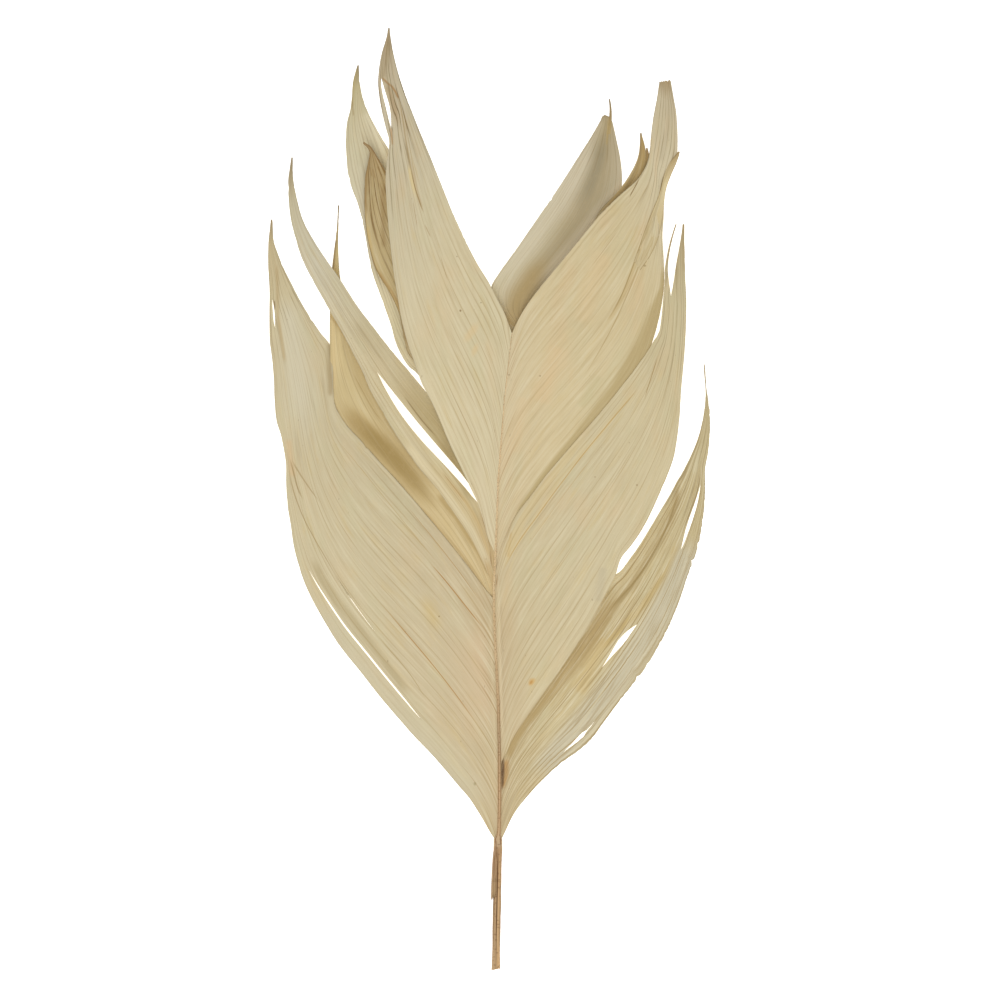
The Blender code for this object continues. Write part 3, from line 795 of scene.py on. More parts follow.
# Left side, from the front to the back.
leftFront = dict(
    root=(-1, -219), layer=(1, 1), arch=2, grid=(112, 240), pleats=26, seed=3, fray=2,
    innerHeights=(26, 30, 31, 27, 20), outerHeights=(18, 22, 25, 24, 19.5), rests=[(1, "leftSecond")],
    inner=[(504, 313), (496, 298), (488, 282), (478, 266), (469, 249), (460, 230), (451, 210),
        (443, 190), (435, 170), (427, 150), (419, 131), (412, 113), (405, 95), (399, 77), (394, 58),
        (391, 42), (389.3, 28)],
    outer=[(488, 538), (484, 522), (478, 503), (470, 486), (460, 465), (450, 444), (440, 420),
        (431, 400), (422, 383), (415, 363), (408, 343), (402, 320), (398, 297), (394, 272), (391, 247),
        (388.5, 222), (387, 200), (386, 181), (387, 165), (389, 151), (389.5, 140), (386, 127),
        (382.5, 112), (380, 98), (378.6, 85), (379, 74), (380.2, 64), (382, 54), (385, 44), (387.3, 36),
        (388.5, 28)],
    slits=[slit([(391.5, 129), (391, 123), (390, 117), (388.2, 109), (385.8, 100), (383.5, 90),
        (382.4, 84), (381.5, 77)], [0, 3.6, 6, 6.7, 5.5, 4, 2.8, 0])],
    folds=[fold([(381, 77), (388, 87), (396, 97), (401, 110), (404, 130), (407, 148), (411, 170),
        (416, 190), (421, 205)], 0.3, (4.5, 0.5), ends=(0.05, 0.5))],
    strokes=[
        stroke([(393, 50), (402, 82), (412, 112), (425, 145), (436, 175)], (5, 9), (188, 178, 148),
            0.6),
        stroke([(386, 84), (391, 95), (395, 106), (398, 120), (402, 136)], [(3, 3), (6, 5), (7, 4),
            (5, 3), (2, 2)], (174, 148, 108), ends=(0.1, 0.5)),
        stroke([(390, 40), (386, 60), (383, 80)], 5, (166, 146, 108), 0.6),
        stroke([(397, 90), (401, 110), (405, 130), (408, 155), (412, 172), (417, 190), (424, 215)],
            [(2, 2), (3, 2), (4, 2), (3, 3)], (184, 160, 116), 0.45),
        stroke([(409, 164), (411, 178), (414, 190), (419, 205)], 2.2, (226, 206, 152), 0.75, core=0.4,
            ends=(0.2, 0.5)),
        stroke([(382, 78), (388, 84), (392, 87), (396, 93), (399, 100)], 1.9, (164, 118, 60), 0.85),
        stroke([(391, 128), (392, 136), (393, 146)], 1.4, (176, 132, 78)),
        stroke([(389, 215), (395, 280), (405, 335), (427, 391)], (6, 5), "cream", 0.4),
        stroke([(470, 430), (480, 480), (490, 540)], 8, (214, 198, 164), 0.4),
    ],
    veins=[
        vein([(399, 97), (401, 110), (404, 125), (406, 137), (408, 155), (411, 170), (413, 180),
            (416, 190), (420, 203), (424, 215)], 0.35, 0.55, (158, 128, 76), soft=0.1),
        vein([(402, 102), (405, 118), (409, 142), (412, 160), (415, 176), (419, 192)], 0.3, 0.5,
            (160, 128, 70)),
        vein([(411.5, 170), (414, 184), (417, 194), (423, 212)], 0.35, 0.7, (146, 114, 60)),
        vein([(389, 32), (386.5, 55), (384, 78)], 0.35, 0.5, (146, 124, 88)),
        vein([(389.3, 32), (389.2, 56), (389, 80)], 0.35, 0.5, (146, 124, 88)),
        vein([(390, 34), (391.5, 56), (393, 78)], 0.3, 0.4, (150, 128, 92)),
        vein([(413, 200), (418, 230)], 0.4, 0.5),
        vein([(425, 225), (431, 238)], 0.4, 0.45),
        vein([(440, 255), (448, 282)], 0.4, 0.45),
    ],
    stains=[
        stain((472, 332), (6, 16), 0.6, (216, 190, 142), turn=-37),
        stain((475, 350), (4, 9), 0.6, (216, 190, 142), turn=-20),
        stain((460.5, 311), (1.3, 1.5), 0.75, (136, 106, 64), hard=0.4),
        stain((457, 257), (1, 1), 0.5),
        stain((481, 303), (1, 1), 0.6),
        stain((404, 343), (1.2, 1), 0.5),
    ],
    along=[(0, (213, 199, 162)), (0.35, (210, 196, 159)), (0.6, (204, 192, 160)),
        (0.8, (198, 186, 158)), (0.92, (190, 174, 144)), (1, (156, 132, 96))],
    ribs=34, mean=58, peach=0.3, tipLines=1, ribTone=(132, 112, 76),
)
leftCurled = dict(
    root=(-67, -92), layer=(-0.1, -0.1), arch=0.3, grid=(40, 160), pleats=8, seed=5, ragged=(0, 0),
    innerHeights=(19.8, 20.6, 20.6, 19.6, 18.6), outerHeights=(18.9, 19.2, 19, 18.4, 18.2),
    inner=[(480, 362), (442, 300), (408, 225), (392, 190), (387, 176), (383.5, 169), (379, 161),
        (374, 152.5), (371, 147.5), (367, 144.6), (363.4, 142.4)],
    outer=[(476, 390), (440, 382), (412, 358), (405, 341), (402, 325), (399, 312), (394, 300),
        (388, 289), (381, 278), (375, 266), (371, 252), (367.5, 236), (365.5, 218), (364.8, 200),
        (365.4, 180), (367, 170), (369.5, 158), (370, 152), (367.3, 147), (363.4, 143.4)],
    strokes=[
        # Painted shade beside the front leaflet's edge, which lies over this one.
        stroke([(383, 185), (383, 215), (384, 250)], (4, 5), (160, 132, 86), 0.7),
        stroke([(367, 222), (369, 245), (372, 262), (377, 273), (383, 283), (389, 292), (395, 302),
            (400, 315)], (1.5, 3.5), (206, 178, 116), 0.85),
        stroke([(376, 268), (384, 281), (391, 291), (397, 302), (402, 316), (405, 335), (409, 347),
            (414, 358)], (1.2, 3), (176, 140, 84)),
        stroke([(371, 151), (368.5, 163), (366.5, 176), (365.5, 200), (367.5, 222)], (1.5, 1.8),
            (152, 120, 72), 0.9, ends=(0.05, 0.3)),
        stroke([(366, 144), (371, 147.5), (375, 154), (381, 164), (387, 176)], 2, (146, 114, 66), 0.85,
            ends=(0.05, 0.1)),
        stroke([(370, 167), (372, 177)], 0.9, "fold"),
        stroke([(373, 169), (375, 179)], 0.9, "fold"),
        stroke([(377, 166), (382, 177)], 0.9, "fold"),
        stroke([(380, 184), (384, 197)], 0.9, "fold", 0.7),
    ],
    along=[(0, (208, 184, 134)), (0.5, (202, 181, 130)), (0.75, (188, 168, 122)),
        (0.95, (168, 142, 94)), (1, (132, 100, 58))],
    ribs=20, mean=20, peach=0.1, streak=0.4, groove=0.6, ridge=0.3, tipLines=1, tipRibs=0.32,
    ribTone=(130, 102, 56), edge=0.8, edgeWidth=0.5, rim=(132, 100, 54),
)
leftBack = dict(
    root=(-100, -162), layer=(-1.1, -1.1), arch=0.5, grid=(52, 180), pleats=12, seed=8,
    innerHeights=(17.6, 17.4, 16.6, 15, 11), outerHeights=(15.4, 15.5, 14.5, 12.5, 10.5),
    inner=[(472, 400), (440, 345), (415, 285), (400, 225), (393, 172), (389, 152), (384.5, 143.5),
        (380, 136), (375, 127), (370, 117.5), (366, 108.5), (362.3, 98), (360.3, 89), (359, 80),
        (358.4, 65)],
    outer=[(478, 462), (448, 412), (419, 375), (410, 367), (403, 357), (396, 342), (391, 324),
        (385, 307), (380, 293), (375.5, 281), (371.5, 268), (369, 255), (366.5, 240), (363, 222),
        (358, 203), (352.5, 189), (348.5, 174), (347, 158), (346, 140), (347.5, 122), (350.5, 110),
        (352, 99), (352.5, 89), (353.6, 80), (355.2, 74), (357.6, 65)],
    strokes=[
        stroke([(366, 110), (376, 132), (386, 155), (390, 175)], (10, 12), (226, 216, 184)),
        stroke([(357, 68), (354, 80), (352.5, 96), (352, 108)], (2, 3), (180, 162, 110), 0.7),
        stroke([(352, 100), (353.5, 116)], 1.2, "fold", 0.6),
        stroke([(366, 205), (370, 240), (378, 272)], (2, 5), "halfShadow", 0.6),
    ],
    along=[(0, (218, 200, 156)), (0.45, (222, 208, 168)), (0.66, (218, 208, 178)),
        (0.85, (210, 200, 166)), (0.95, (194, 182, 140)), (1, (134, 112, 76))],
    ribs=24, mean=30, peach=0.1, streak=0.2, ridge=0.25, tipLines=0.4, tipRibs=0.3,
)
leftSecond = dict(
    root=(-172, -250), layer=(-0.1, -0.1), arch=1, grid=(72, 220), pleats=14, seed=13,
    innerHeights=(15.6, 15.8, 14.5, 11.5, 8), outerHeights=(12.8, 12.6, 12, 10, 7.5),
    rests=[(1, "leftUnder")],
    inner=[(473, 455), (447.5, 416), (425.8, 392), (408.6, 371.2), (398.8, 360), (382.5, 340),
        (372, 326), (361, 312), (351.5, 298), (340, 280), (326, 260), (313, 240), (302.5, 220),
        (296.5, 199), (293, 181), (292.2, 168), (292.4, 157)],
    outer=[(488, 573), (480, 556), (468.5, 534), (453, 511), (436, 487), (418, 466), (404.5, 447),
        (391.5, 427), (380, 407), (369.5, 388), (362, 370), (353, 352.5), (344, 335), (331, 312),
        (322, 296), (313, 280), (303, 260), (296.3, 240), (291.3, 220), (289, 201), (288.4, 181),
        (289.8, 169), (291.6, 157)],
    slits=[slit([(377.5, 372), (383.5, 383), (391, 393.5), (400, 406.5), (410, 420), (425, 437),
        (440, 454), (458, 475), (472, 493), (482, 508)], [0, 4, 7, 9.5, 10.5, 10.5, 9.5, 8.5, 7, 0])],
    strokes=[
        # Painted shadow of the front leaflet on the strip beyond the slit, which lies under it.
        stroke([(384, 362), (400, 381), (416, 400), (432, 421), (447, 445), (465, 475), (478, 502)],
            (13, 14), (178, 158, 110), 0.85, core=0.4, ends=(0.45, 0.1)),
        stroke([(436, 432), (450, 456), (464, 480)], (8, 9), (160, 138, 90), 0.75, ends=(0.5, 0.2)),
        stroke([(350, 316), (362, 332), (376, 350), (392, 372)], (8, 6), (184, 168, 130), 0.65,
            ends=(0.3, 0.5)),
        stroke([(342, 326), (357, 354), (372, 386), (392, 417), (412, 443), (434, 470)], (4, 7),
            "cream", 0.7),
        stroke([(404, 440), (419, 460), (438, 483), (456, 508), (471, 531), (482, 551), (489, 568)], 5,
            (218, 203, 165), 0.85, core=0.3),
        stroke([(437, 466), (452, 486), (466, 502), (478, 522), (486, 543), (491, 560)], (3, 4),
            (200, 172, 118), 0.75, ends=(0.3, 0.1)),
        stroke([(490, 548), (491, 560), (492, 571)], 1.1, (140, 100, 52), 0.85, ends=(0.45, 0.45)),
    ],
    veins=[
        vein([(403, 395), (415, 411), (425, 424), (437, 438)], 0.6, 0.7, (136, 112, 70)),
        vein([(441, 470), (450, 482), (460, 495), (465, 503)], 0.5, 0.5),
        vein([(481, 512), (485, 527), (489, 542), (491, 556)], 0.5, 0.7),
    ],
    along=[(0, (196, 170, 122)), (0.2, (204, 186, 142)), (0.55, (202, 188, 152)),
        (0.75, (208, 200, 174)), (0.9, (198, 188, 156)), (1, (140, 118, 80))],
    ribs=20, mean=34, peach=0.15, ridge=0.3, tipLines=0.25,
)
leftUnder = dict(
    root=(-238, -276), layer=(-1.1, -1.1), arch=0.3, grid=(48, 200), pleats=9, seed=17,
    innerHeights=(11.2, 10.2, 9.2, 8.9, 9), outerHeights=(9.8, 8.4, 6.2, 7.4, 8.5),
    inner=[(481, 538), (468, 512), (452, 488), (437, 468), (422, 449.5), (408, 432), (396, 415),
        (384, 396), (372, 377), (361, 356), (351, 328), (343.5, 296), (340, 279), (338.4, 262),
        (337.8, 242), (338.2, 224), (338.8, 205)],
    outer=[(477, 588), (448, 556), (420, 524), (392, 490), (367, 456), (350, 432), (334, 404),
        (330.5, 385), (330, 350), (330, 312), (331.5, 276), (333.5, 256), (335.5, 240), (337.2, 224),
        (338.2, 205)],
    strokes=[
        stroke([(332, 312), (345, 345), (362, 385), (385, 420), (412, 456), (440, 492)], (9, 18),
            "halfShadow", 0.5),
        stroke([(332, 312), (334, 350), (334, 392)], (5, 4), (216, 192, 140)),
        # Painted shade along the second leaflet's edge, which lies over this one.
        stroke([(329, 314), (338, 326), (347, 340)], 2, (184, 154, 98)),
        # Painted shadow of the low leaflet's edge: a broad band, then its dark core.
        stroke([(335, 400), (355, 420), (375, 440), (400, 464), (424, 494), (440, 512)], [(8, 10),
            (16, 14), (20, 20), (22, 22), (16, 16), (10, 8)], (180, 154, 100), 0.85, core=0.2,
            ends=(0.2, 0.3)),
        stroke([(345, 408), (362, 426), (380, 444), (396, 460), (412, 478), (430, 500), (444, 518)],
            [(8, 8), (12, 10), (13, 12), (12, 12), (9, 10), (6, 8), (3, 4)], (162, 136, 80), 0.9,
            core=0.2, ends=(0.3, 0.5)),
        # Painted shadow beside the second leaflet's edge.
        stroke([(436, 492), (445, 505), (455, 517), (463, 530), (470, 541), (478, 552), (484, 564),
            (489, 577)], (4, 6), (182, 156, 102), 0.85),
        # Painted shade beside the low leaflet's edge.
        stroke([(418, 504), (430, 517), (437, 526), (447, 537), (460, 552), (475, 572), (489, 595)],
            (4, 2), (194, 168, 116), 0.85),
        stroke([(336, 238), (334.5, 252), (332.5, 272)], 2, (136, 112, 76)),
        stroke([(337, 318), (338, 350), (342, 385)], (5, 6), (222, 200, 148), 0.7, ends=(0.3, 0.4)),
    ],
    veins=[vein([(352, 372), (362, 390), (372, 408), (385, 425)], 0.5, 0.6, (168, 142, 90))],
    along=[(0, (210, 187, 138)), (0.3, (209, 187, 138)), (0.7, (204, 184, 134)), (0.9, (192, 170, 118)),
        (1, (128, 104, 66))],
    ribs=18, mean=26, peach=0.05, moss=0.1, streak=0.35, ridge=0.2, tipLines=0.35,
)
leftLow = dict(
    root=(-266, -506), layer=(0.4, 0.4), arch=2.5, grid=(124, 270), pleats=30, seed=21,
    innerHeights=(12, 10.6, 7, 3.4, 1.6), outerHeights=(4, 3, 1.6, -0.6, 1.2), rests=[(0, "leftUnder")],
    inner=[(487, 592), (460, 557), (430, 520), (400, 485), (380, 463), (360, 440.5), (345, 424),
        (335, 406), (333, 390), (332.5, 368), (329.8, 346), (320, 333), (310, 318), (300, 301.5),
        (290, 282), (283, 268), (277, 253), (273, 240), (271.8, 219)],
    outer=[(490.5, 832.5), (484, 821), (477, 809.5), (469, 797.5), (459, 786), (446, 770.5),
        (431, 753.5), (415, 737), (400, 720), (380, 696.5), (360, 671), (340, 646), (326, 624),
        (312, 599), (303.5, 580), (298, 563), (293.5, 545), (290.5, 524), (287.5, 506), (286, 483),
        (285.6, 462), (281, 436), (276.3, 420), (274.3, 400), (273.6, 380), (272, 360), (269.5, 340),
        (269, 315), (269.2, 290), (268, 265), (268.2, 243), (270.8, 219)],
    slits=[
        slit([(307.5, 567), (318, 586), (333, 609), (348, 630), (365, 651), (382, 672), (400, 694),
            (413, 710), (421, 719)], [0, 1.6, 2.2, 2.3, 2.4, 2.4, 2.2, 1.4, 0]),
        slit([(345, 592), (352, 602), (360, 613), (368, 624), (376, 634)], [0, 0.8, 0.8, 0.6, 0]),
        slit([(274.8, 328), (274, 320), (273.5, 312), (272.6, 305), (271.7, 297)],
            [0, 3.3, 3.4, 2.6, 0]),
    ],
    folds=[
        fold([(283, 441), (290, 458), (300, 490)], -0.25, 2),
        fold([(330, 567), (345, 590), (360, 612), (376, 633)], -0.9, (0.3, 4), ends=(0.3, 0.3)),
    ],
    strokes=[
        stroke([(478, 620), (484, 680), (490, 750)], (44, 12), (214, 187, 150), 0.5, ends=(0.2, 0.4)),
        stroke([(312, 600), (345, 652), (385, 702), (435, 758), (480, 812)], (6, 30), (202, 192, 162),
            0.6),
        stroke([(285, 290), (293, 345), (300, 400), (310, 470)], [(16, 18), (24, 26), (26, 26),
            (14, 26)], (213, 204, 176), ends=(0.15, 0.45)),
        # Painted shadow of the under leaflet's edge, which lies over this one here.
        stroke([(330, 340), (330, 370), (331, 398)], (6, 3), (172, 152, 112)),
        stroke([(276.5, 262), (277, 290), (277.5, 315), (281, 338), (285, 365)], 3, (190, 168, 124)),
        stroke([(274, 300), (274.5, 309)], 1.4, "deep"),
        stroke([(288, 438), (290, 456), (293, 478)], 6, (212, 184, 140), 0.75),
        # A grey-green band with painted shade, where the strip beside the long slit lies lower.
        stroke([(310, 556), (322, 581), (336, 602), (351, 620), (366, 640), (381, 659), (396, 679),
            (410, 698)], (4, 7), "olive", core=0.3),
        stroke([(420, 590), (431, 614), (442, 638)], 11, (204, 180, 124), 0.7, ends=(0.45, 0.45)),
        stroke([(489.5, 610), (491, 640), (493, 700), (495, 740), (495.8, 780)], (1.8, 1.6),
            (222, 203, 164), 0.4),
    ],
    veins=[
        vein([(289, 457), (293, 470), (295, 480), (297, 488), (301, 495), (304, 501)], 0.5, 0.6,
            (146, 116, 66), soft=0.3),
        vein([(288, 460), (289, 475), (293, 490), (300, 508), (307, 527), (320, 548), (332, 570),
            (340, 586)], 0.4, 0.6, (150, 120, 70)),
        vein([(291, 458), (296, 468), (302, 477), (307, 485), (313, 493), (320, 503)], 0.4, 0.5,
            (150, 120, 70)),
        vein([(377, 635), (390, 651), (398, 660), (410, 673), (417, 685), (427, 702)], 0.5, 0.6,
            (166, 142, 92)),
        vein([(380, 603), (400, 626), (420, 650), (437, 670), (452, 690), (470, 714), (480, 730)], 0.45,
            0.85, (170, 124, 58)),
        vein([(427, 560), (440, 575), (454, 591), (467, 608), (480, 624), (487, 632)], 0.45, 0.85,
            (168, 120, 52)),
        vein([(330, 430), (350, 456), (380, 492), (410, 530), (440, 566)], 0.3, 0.45, (176, 144, 84)),
        vein([(402, 500), (425, 528), (450, 560), (472, 590), (486, 612)], 0.35, 0.6, (172, 130, 66)),
        vein([(330, 600), (360, 640), (400, 690), (440, 738), (470, 776)], 0.3, 0.4, (172, 150, 104)),
    ],
    stains=[
        stain((439, 616.5), (1, 1.1), 0.7, (130, 100, 56), hard=0.4),
        stain((475, 784), (2, 2.5), 0.6, (150, 136, 92)),
    ],
    along=[(0, (196, 178, 140)), (0.12, (201, 184, 148)), (0.35, (203, 189, 153)),
        (0.65, (204, 190, 154)), (0.85, (205, 191, 153)), (0.96, (190, 174, 134)), (1, (146, 120, 80))],
    ribs=44, mean=70, peach=0.2, groove=0.2, ridge=0.35,
)

# Right side, from the front to the back.
rightSecond = dict(
    root=(240, 430), layer=(0.6, 0.4), arch=1.5, grid=(116, 270), pleats=26, seed=27,
    innerHeights=(16.3, 17.5, 17.8, 17.2, 15.5), outerHeights=(8.5, 9, 9.5, 10.5, 13),
    rests=[(0, "rightFront"), (1, "rightLow")],
    inner=[(497.6, 563), (500, 552), (504, 541), (512, 523), (520, 510), (531, 496), (546, 476),
        (560, 459.5), (575, 442), (590, 425), (605, 407.5), (620, 389), (635, 369.5), (646, 354),
        (654, 341), (659.5, 331), (662, 315), (663.3, 300), (664.5, 285), (665.3, 268), (667.8, 253),
        (671.2, 239), (676, 224)],
    outer=[(506, 752.5), (513, 737.5), (523, 722), (535, 704.5), (547, 688), (560, 669.5), (573, 650),
        (586, 630), (598, 609), (608, 590), (615, 576), (621, 558), (631.8, 544.3), (642.3, 528.6),
        (651, 512), (660, 492), (668, 473), (674, 455), (677.5, 434), (679.8, 412), (681, 390),
        (683, 368), (685, 343), (686, 318), (686, 298), (685, 278), (684.5, 255), (684, 240),
        (684, 224)],
    slits=[slit([(671, 297), (670.9, 285), (671, 275), (672.5, 262), (674.6, 250), (676.5, 240),
        (678, 232), (679.6, 225)], [0, 6.3, 10, 10.6, 10.2, 9.2, 8, 6.8], toTip=True)],
    folds=[fold([(620, 412), (600, 436), (580, 462), (559, 488), (534, 522), (516, 548), (506, 563),
        (498, 577)], -0.4, (1.6, 1), ends=(0.4, 0.2))],
    strokes=[
        stroke([(640, 385), (620, 410), (600, 436), (580, 458), (560, 480), (545, 506), (528, 530),
            (513, 552), (500, 576)], (6, 1), (212, 191, 142), 0.6),
        stroke([(511.5, 530), (509.5, 545), (508, 558)], 2.4, (196, 162, 104), 0.85, ends=(0.2, 0.1)),
        stroke([(497.5, 572), (497, 580), (495.5, 590)], 1.2, (150, 108, 58), ends=(0.45, 0.45)),
        stroke([(604, 566), (602, 582), (597, 603)], (9, 7), (190, 178, 148), 0.6),
        stroke([(502, 600), (503, 660), (504, 740)], (4, 26), (198, 178, 140), 0.6),
        stroke([(668, 300), (671, 330), (668, 370)], 8, (206, 188, 146), 0.4),
        stroke([(590, 428), (572, 450), (554, 474), (537, 496), (521, 521), (510, 543), (502, 564)],
            (5, 7), (212, 190, 140), 0.65, core=0.3, ends=(0.2, 0.1)),
        stroke([(501, 600), (502, 640), (504, 700), (505.5, 738)], (1.6, 1.8), (178, 160, 126), 0.3),
        stroke([(498.4, 574), (498.8, 600), (499.6, 640), (501.2, 700), (502.6, 742)], (2, 1.8),
            (228, 210, 172), 0.45),
    ],
    veins=[
        vein([(640, 385), (620, 410), (600, 436), (580, 458), (560, 480), (545, 506), (528, 530),
            (513, 552), (502, 571)], 0.5, 0.7, (184, 148, 84), soft=0.12),
        vein([(658, 356), (653, 371), (649, 384), (644, 400)], 0.4, 0.7, (150, 116, 58)),
        vein([(600, 448), (580, 474), (560, 500), (540, 528), (520, 556)], 0.3, 0.45, (184, 150, 92)),
        vein([(640, 440), (615, 482), (590, 520), (560, 566), (525, 616)], 0.3, 0.4, (184, 152, 98)),
        vein([(508, 532), (506.5, 545), (505.5, 558)], 0.35, 0.6, (170, 130, 72)),
    ],
    stains=[
        stain((637, 485), (1.3, 1.3), 0.6, (142, 112, 68)),
        stain((595, 477), (1.2, 1.2), 0.5, (142, 112, 68)),
        stain((531.5, 682), (4.2, 6.4), 0.85, (204, 164, 96), turn=-35),
        stain((531, 682.5), (1.6, 3.4), 0.7, (184, 132, 66), turn=-35),
    ],
    along=[(0, (200, 180, 142)), (0.12, (204, 188, 150)), (0.35, (206, 192, 155)),
        (0.6, (207, 192, 153)), (0.85, (200, 187, 148)), (1, (162, 140, 98))],
    ribs=38, mean=62, peach=0.35, rim=(182, 158, 112),
)
rightFront = dict(
    root=(1, 243), layer=(1, -0.6), arch=2, grid=(112, 240), pleats=26, seed=31, fray=2,
    innerHeights=(25.6, 28.4, 28.6, 24.6, 18), outerHeights=(14.2, 15.4, 16.4, 17.4, 17),
    inner=[(516, 325), (523, 312), (531, 300), (540, 288), (550, 276), (562, 261.5), (575, 246),
        (588, 230), (600, 215.5), (612, 203.5), (624, 192.5), (635, 183), (642, 174), (647, 164),
        (649.5, 152), (651, 137), (653, 121), (655.5, 107.5), (658, 94), (659.7, 81)],
    outer=[(503, 556), (514, 536), (540, 506), (572, 466), (605, 426), (632, 392), (644, 366),
        (651, 345), (656, 329), (660, 312), (663, 293), (664, 276), (663.3, 255), (662.2, 236),
        (663.4, 218), (663.7, 202), (665, 190), (669, 178), (673, 168), (676.4, 158), (677.2, 145),
        (677, 130), (675.8, 113), (673.2, 98), (670, 80)],
    strokes=[
        stroke([(560, 345), (552, 375), (540, 405)], 16, (219, 191, 146), 0.5),
        stroke([(524, 395), (520, 425), (512, 455)], 12, (218, 192, 148), 0.5),
        stroke([(606, 250), (592, 285), (580, 325)], (18, 16), (218, 192, 146), 0.5),
        stroke([(600, 375), (590, 392), (580, 408)], 8, (196, 184, 140), 0.5),
        stroke([(672, 90), (668, 130), (660, 165)], (6, 5), (192, 178, 146), 0.6),
        # Painted shadow of the second leaflet, which lies over this one's outer margin.
        stroke([(664, 262), (663.5, 285), (661, 305), (657, 325), (651, 345), (640, 362), (620, 390),
            (600, 413), (580, 437), (560, 460), (540, 484), (522, 508), (508, 534)], [(3, 3), (5, 3),
            (16, 3), (21, 3), (19, 4), (15, 4), (13, 4), (11, 4), (9, 4), (7.5, 4), (6, 4), (4.5, 4),
            (3, 4)], (186, 166, 118), 0.95, core=0.5, ends=(0.05, 0.1)),
        stroke([(640, 245), (633, 268), (622, 296), (606, 322)], (2, 6), (192, 166, 112), 0.5),
        stroke([(508, 336), (509, 352)], 2, "fold", 0.5),
    ],
    veins=[
        vein([(652, 212), (644, 233), (637, 255), (627, 282), (617, 304), (605, 325)], 0.6, 0.75,
            (160, 134, 82)),
        vein([(652, 222), (647, 240), (640, 262), (628, 292), (615, 320), (601, 350), (590, 365),
            (580, 383)], 0.6, 0.6, (170, 144, 94)),
        vein([(639, 179), (635, 187), (632, 192), (629, 199)], 0.5, 0.85, (136, 108, 64)),
    ],
    stains=[
        stain((644.5, 266), (2, 1.5), 0.6, (150, 128, 88), hard=0.3),
        stain((540, 376), (1.2, 1.2), 0.6),
        stain((509, 375), (1.2, 1.2), 0.6),
    ],
    along=[(0, (212, 194, 156)), (0.2, (211, 193, 151)), (0.55, (208, 191, 149)),
        (0.8, (208, 195, 162)), (0.95, (202, 188, 156)), (1, (166, 142, 104))],
    ribs=38, mean=62, peach=0.45, lines=0.25,
)
rightFold = dict(
    on="rightFront", lift=(0.05, 0.45), arch=0.3, grid=(14, 110), pleats=3, seed=33, wave=0, bands=0,
    ragged=(0, 0),
    inner=[(634, 262), (640, 245), (646, 229), (652, 213), (657, 201), (660.5, 190), (663.2, 180),
        (666, 171), (669.5, 164), (674, 158), (678.9, 151.6)],
    outer=[(640, 270), (650, 255), (657, 240), (661, 224), (663.2, 208), (664.5, 195), (667, 184.5),
        (671, 174), (675, 165), (678, 157), (679.3, 151.8)],
    along=[(0, (202, 184, 142)), (0.35, (202, 184, 140)), (0.7, (212, 194, 148)), (1, (170, 144, 98))],
    ribs=6, mean=8, peach=0, moss=0.1, streak=0.4, tipLines=0.3, edge=0.9, edgeWidth=0.45,
    rim=(148, 120, 70),
)
rightMargin = dict(
    root=(12, 34), layer=(-0.1, -0.1), arch=0.2, grid=(28, 130), pleats=4, seed=37, ragged=(0, 0),
    innerHeights=(23, 25.2, 25.6, 24.6, 23.4), outerHeights=(22.6, 24.6, 25, 24.4, 23.2),
    inner=[(530, 320), (560, 280), (586, 238), (599.5, 212.5), (606, 204.5), (614, 196), (622, 187),
        (629, 177), (635, 166), (638.5, 156.5), (640, 146), (640.3, 133.5)],
    outer=[(543, 325), (574, 286), (604, 244), (628, 206), (643, 180), (645.4, 168), (645.7, 158),
        (645, 151), (643.6, 143.5), (642, 138.5), (640.9, 133.5)],
    strokes=[
        stroke([(641, 135), (643, 150), (641, 166), (634, 179), (622, 192), (606, 209)], (4, 8),
            (178, 150, 94), ends=(0.02, 0.1)),
        stroke([(630, 179), (620, 191), (611, 201), (600, 213)], (1.6, 2.4), (186, 158, 104)),
    ],
    along=[(0, (190, 170, 124)), (0.7, (190, 170, 124)), (0.9, (178, 152, 100)), (1, (140, 110, 66))],
    ribs=6, mean=12, peach=0, moss=0.2, streak=0.3, edge=0.3,
)
rightTip = dict(
    on="rightMargin", lift=(0, 0.1), arch=0.1, grid=(8, 40), pleats=2, seed=39, wave=0, bands=0,
    ragged=(0, 0),
    inner=[(641, 176), (643.6, 166), (645.2, 158), (646.3, 148.4)],
    outer=[(650, 174), (650.5, 165), (649, 157), (646.9, 148.4)],
    along=[(0, (174, 148, 94)), (0.6, (170, 142, 88)), (1, (138, 106, 60))],
    ribs=4, mean=5, peach=0, moss=0, edge=0.5,
)
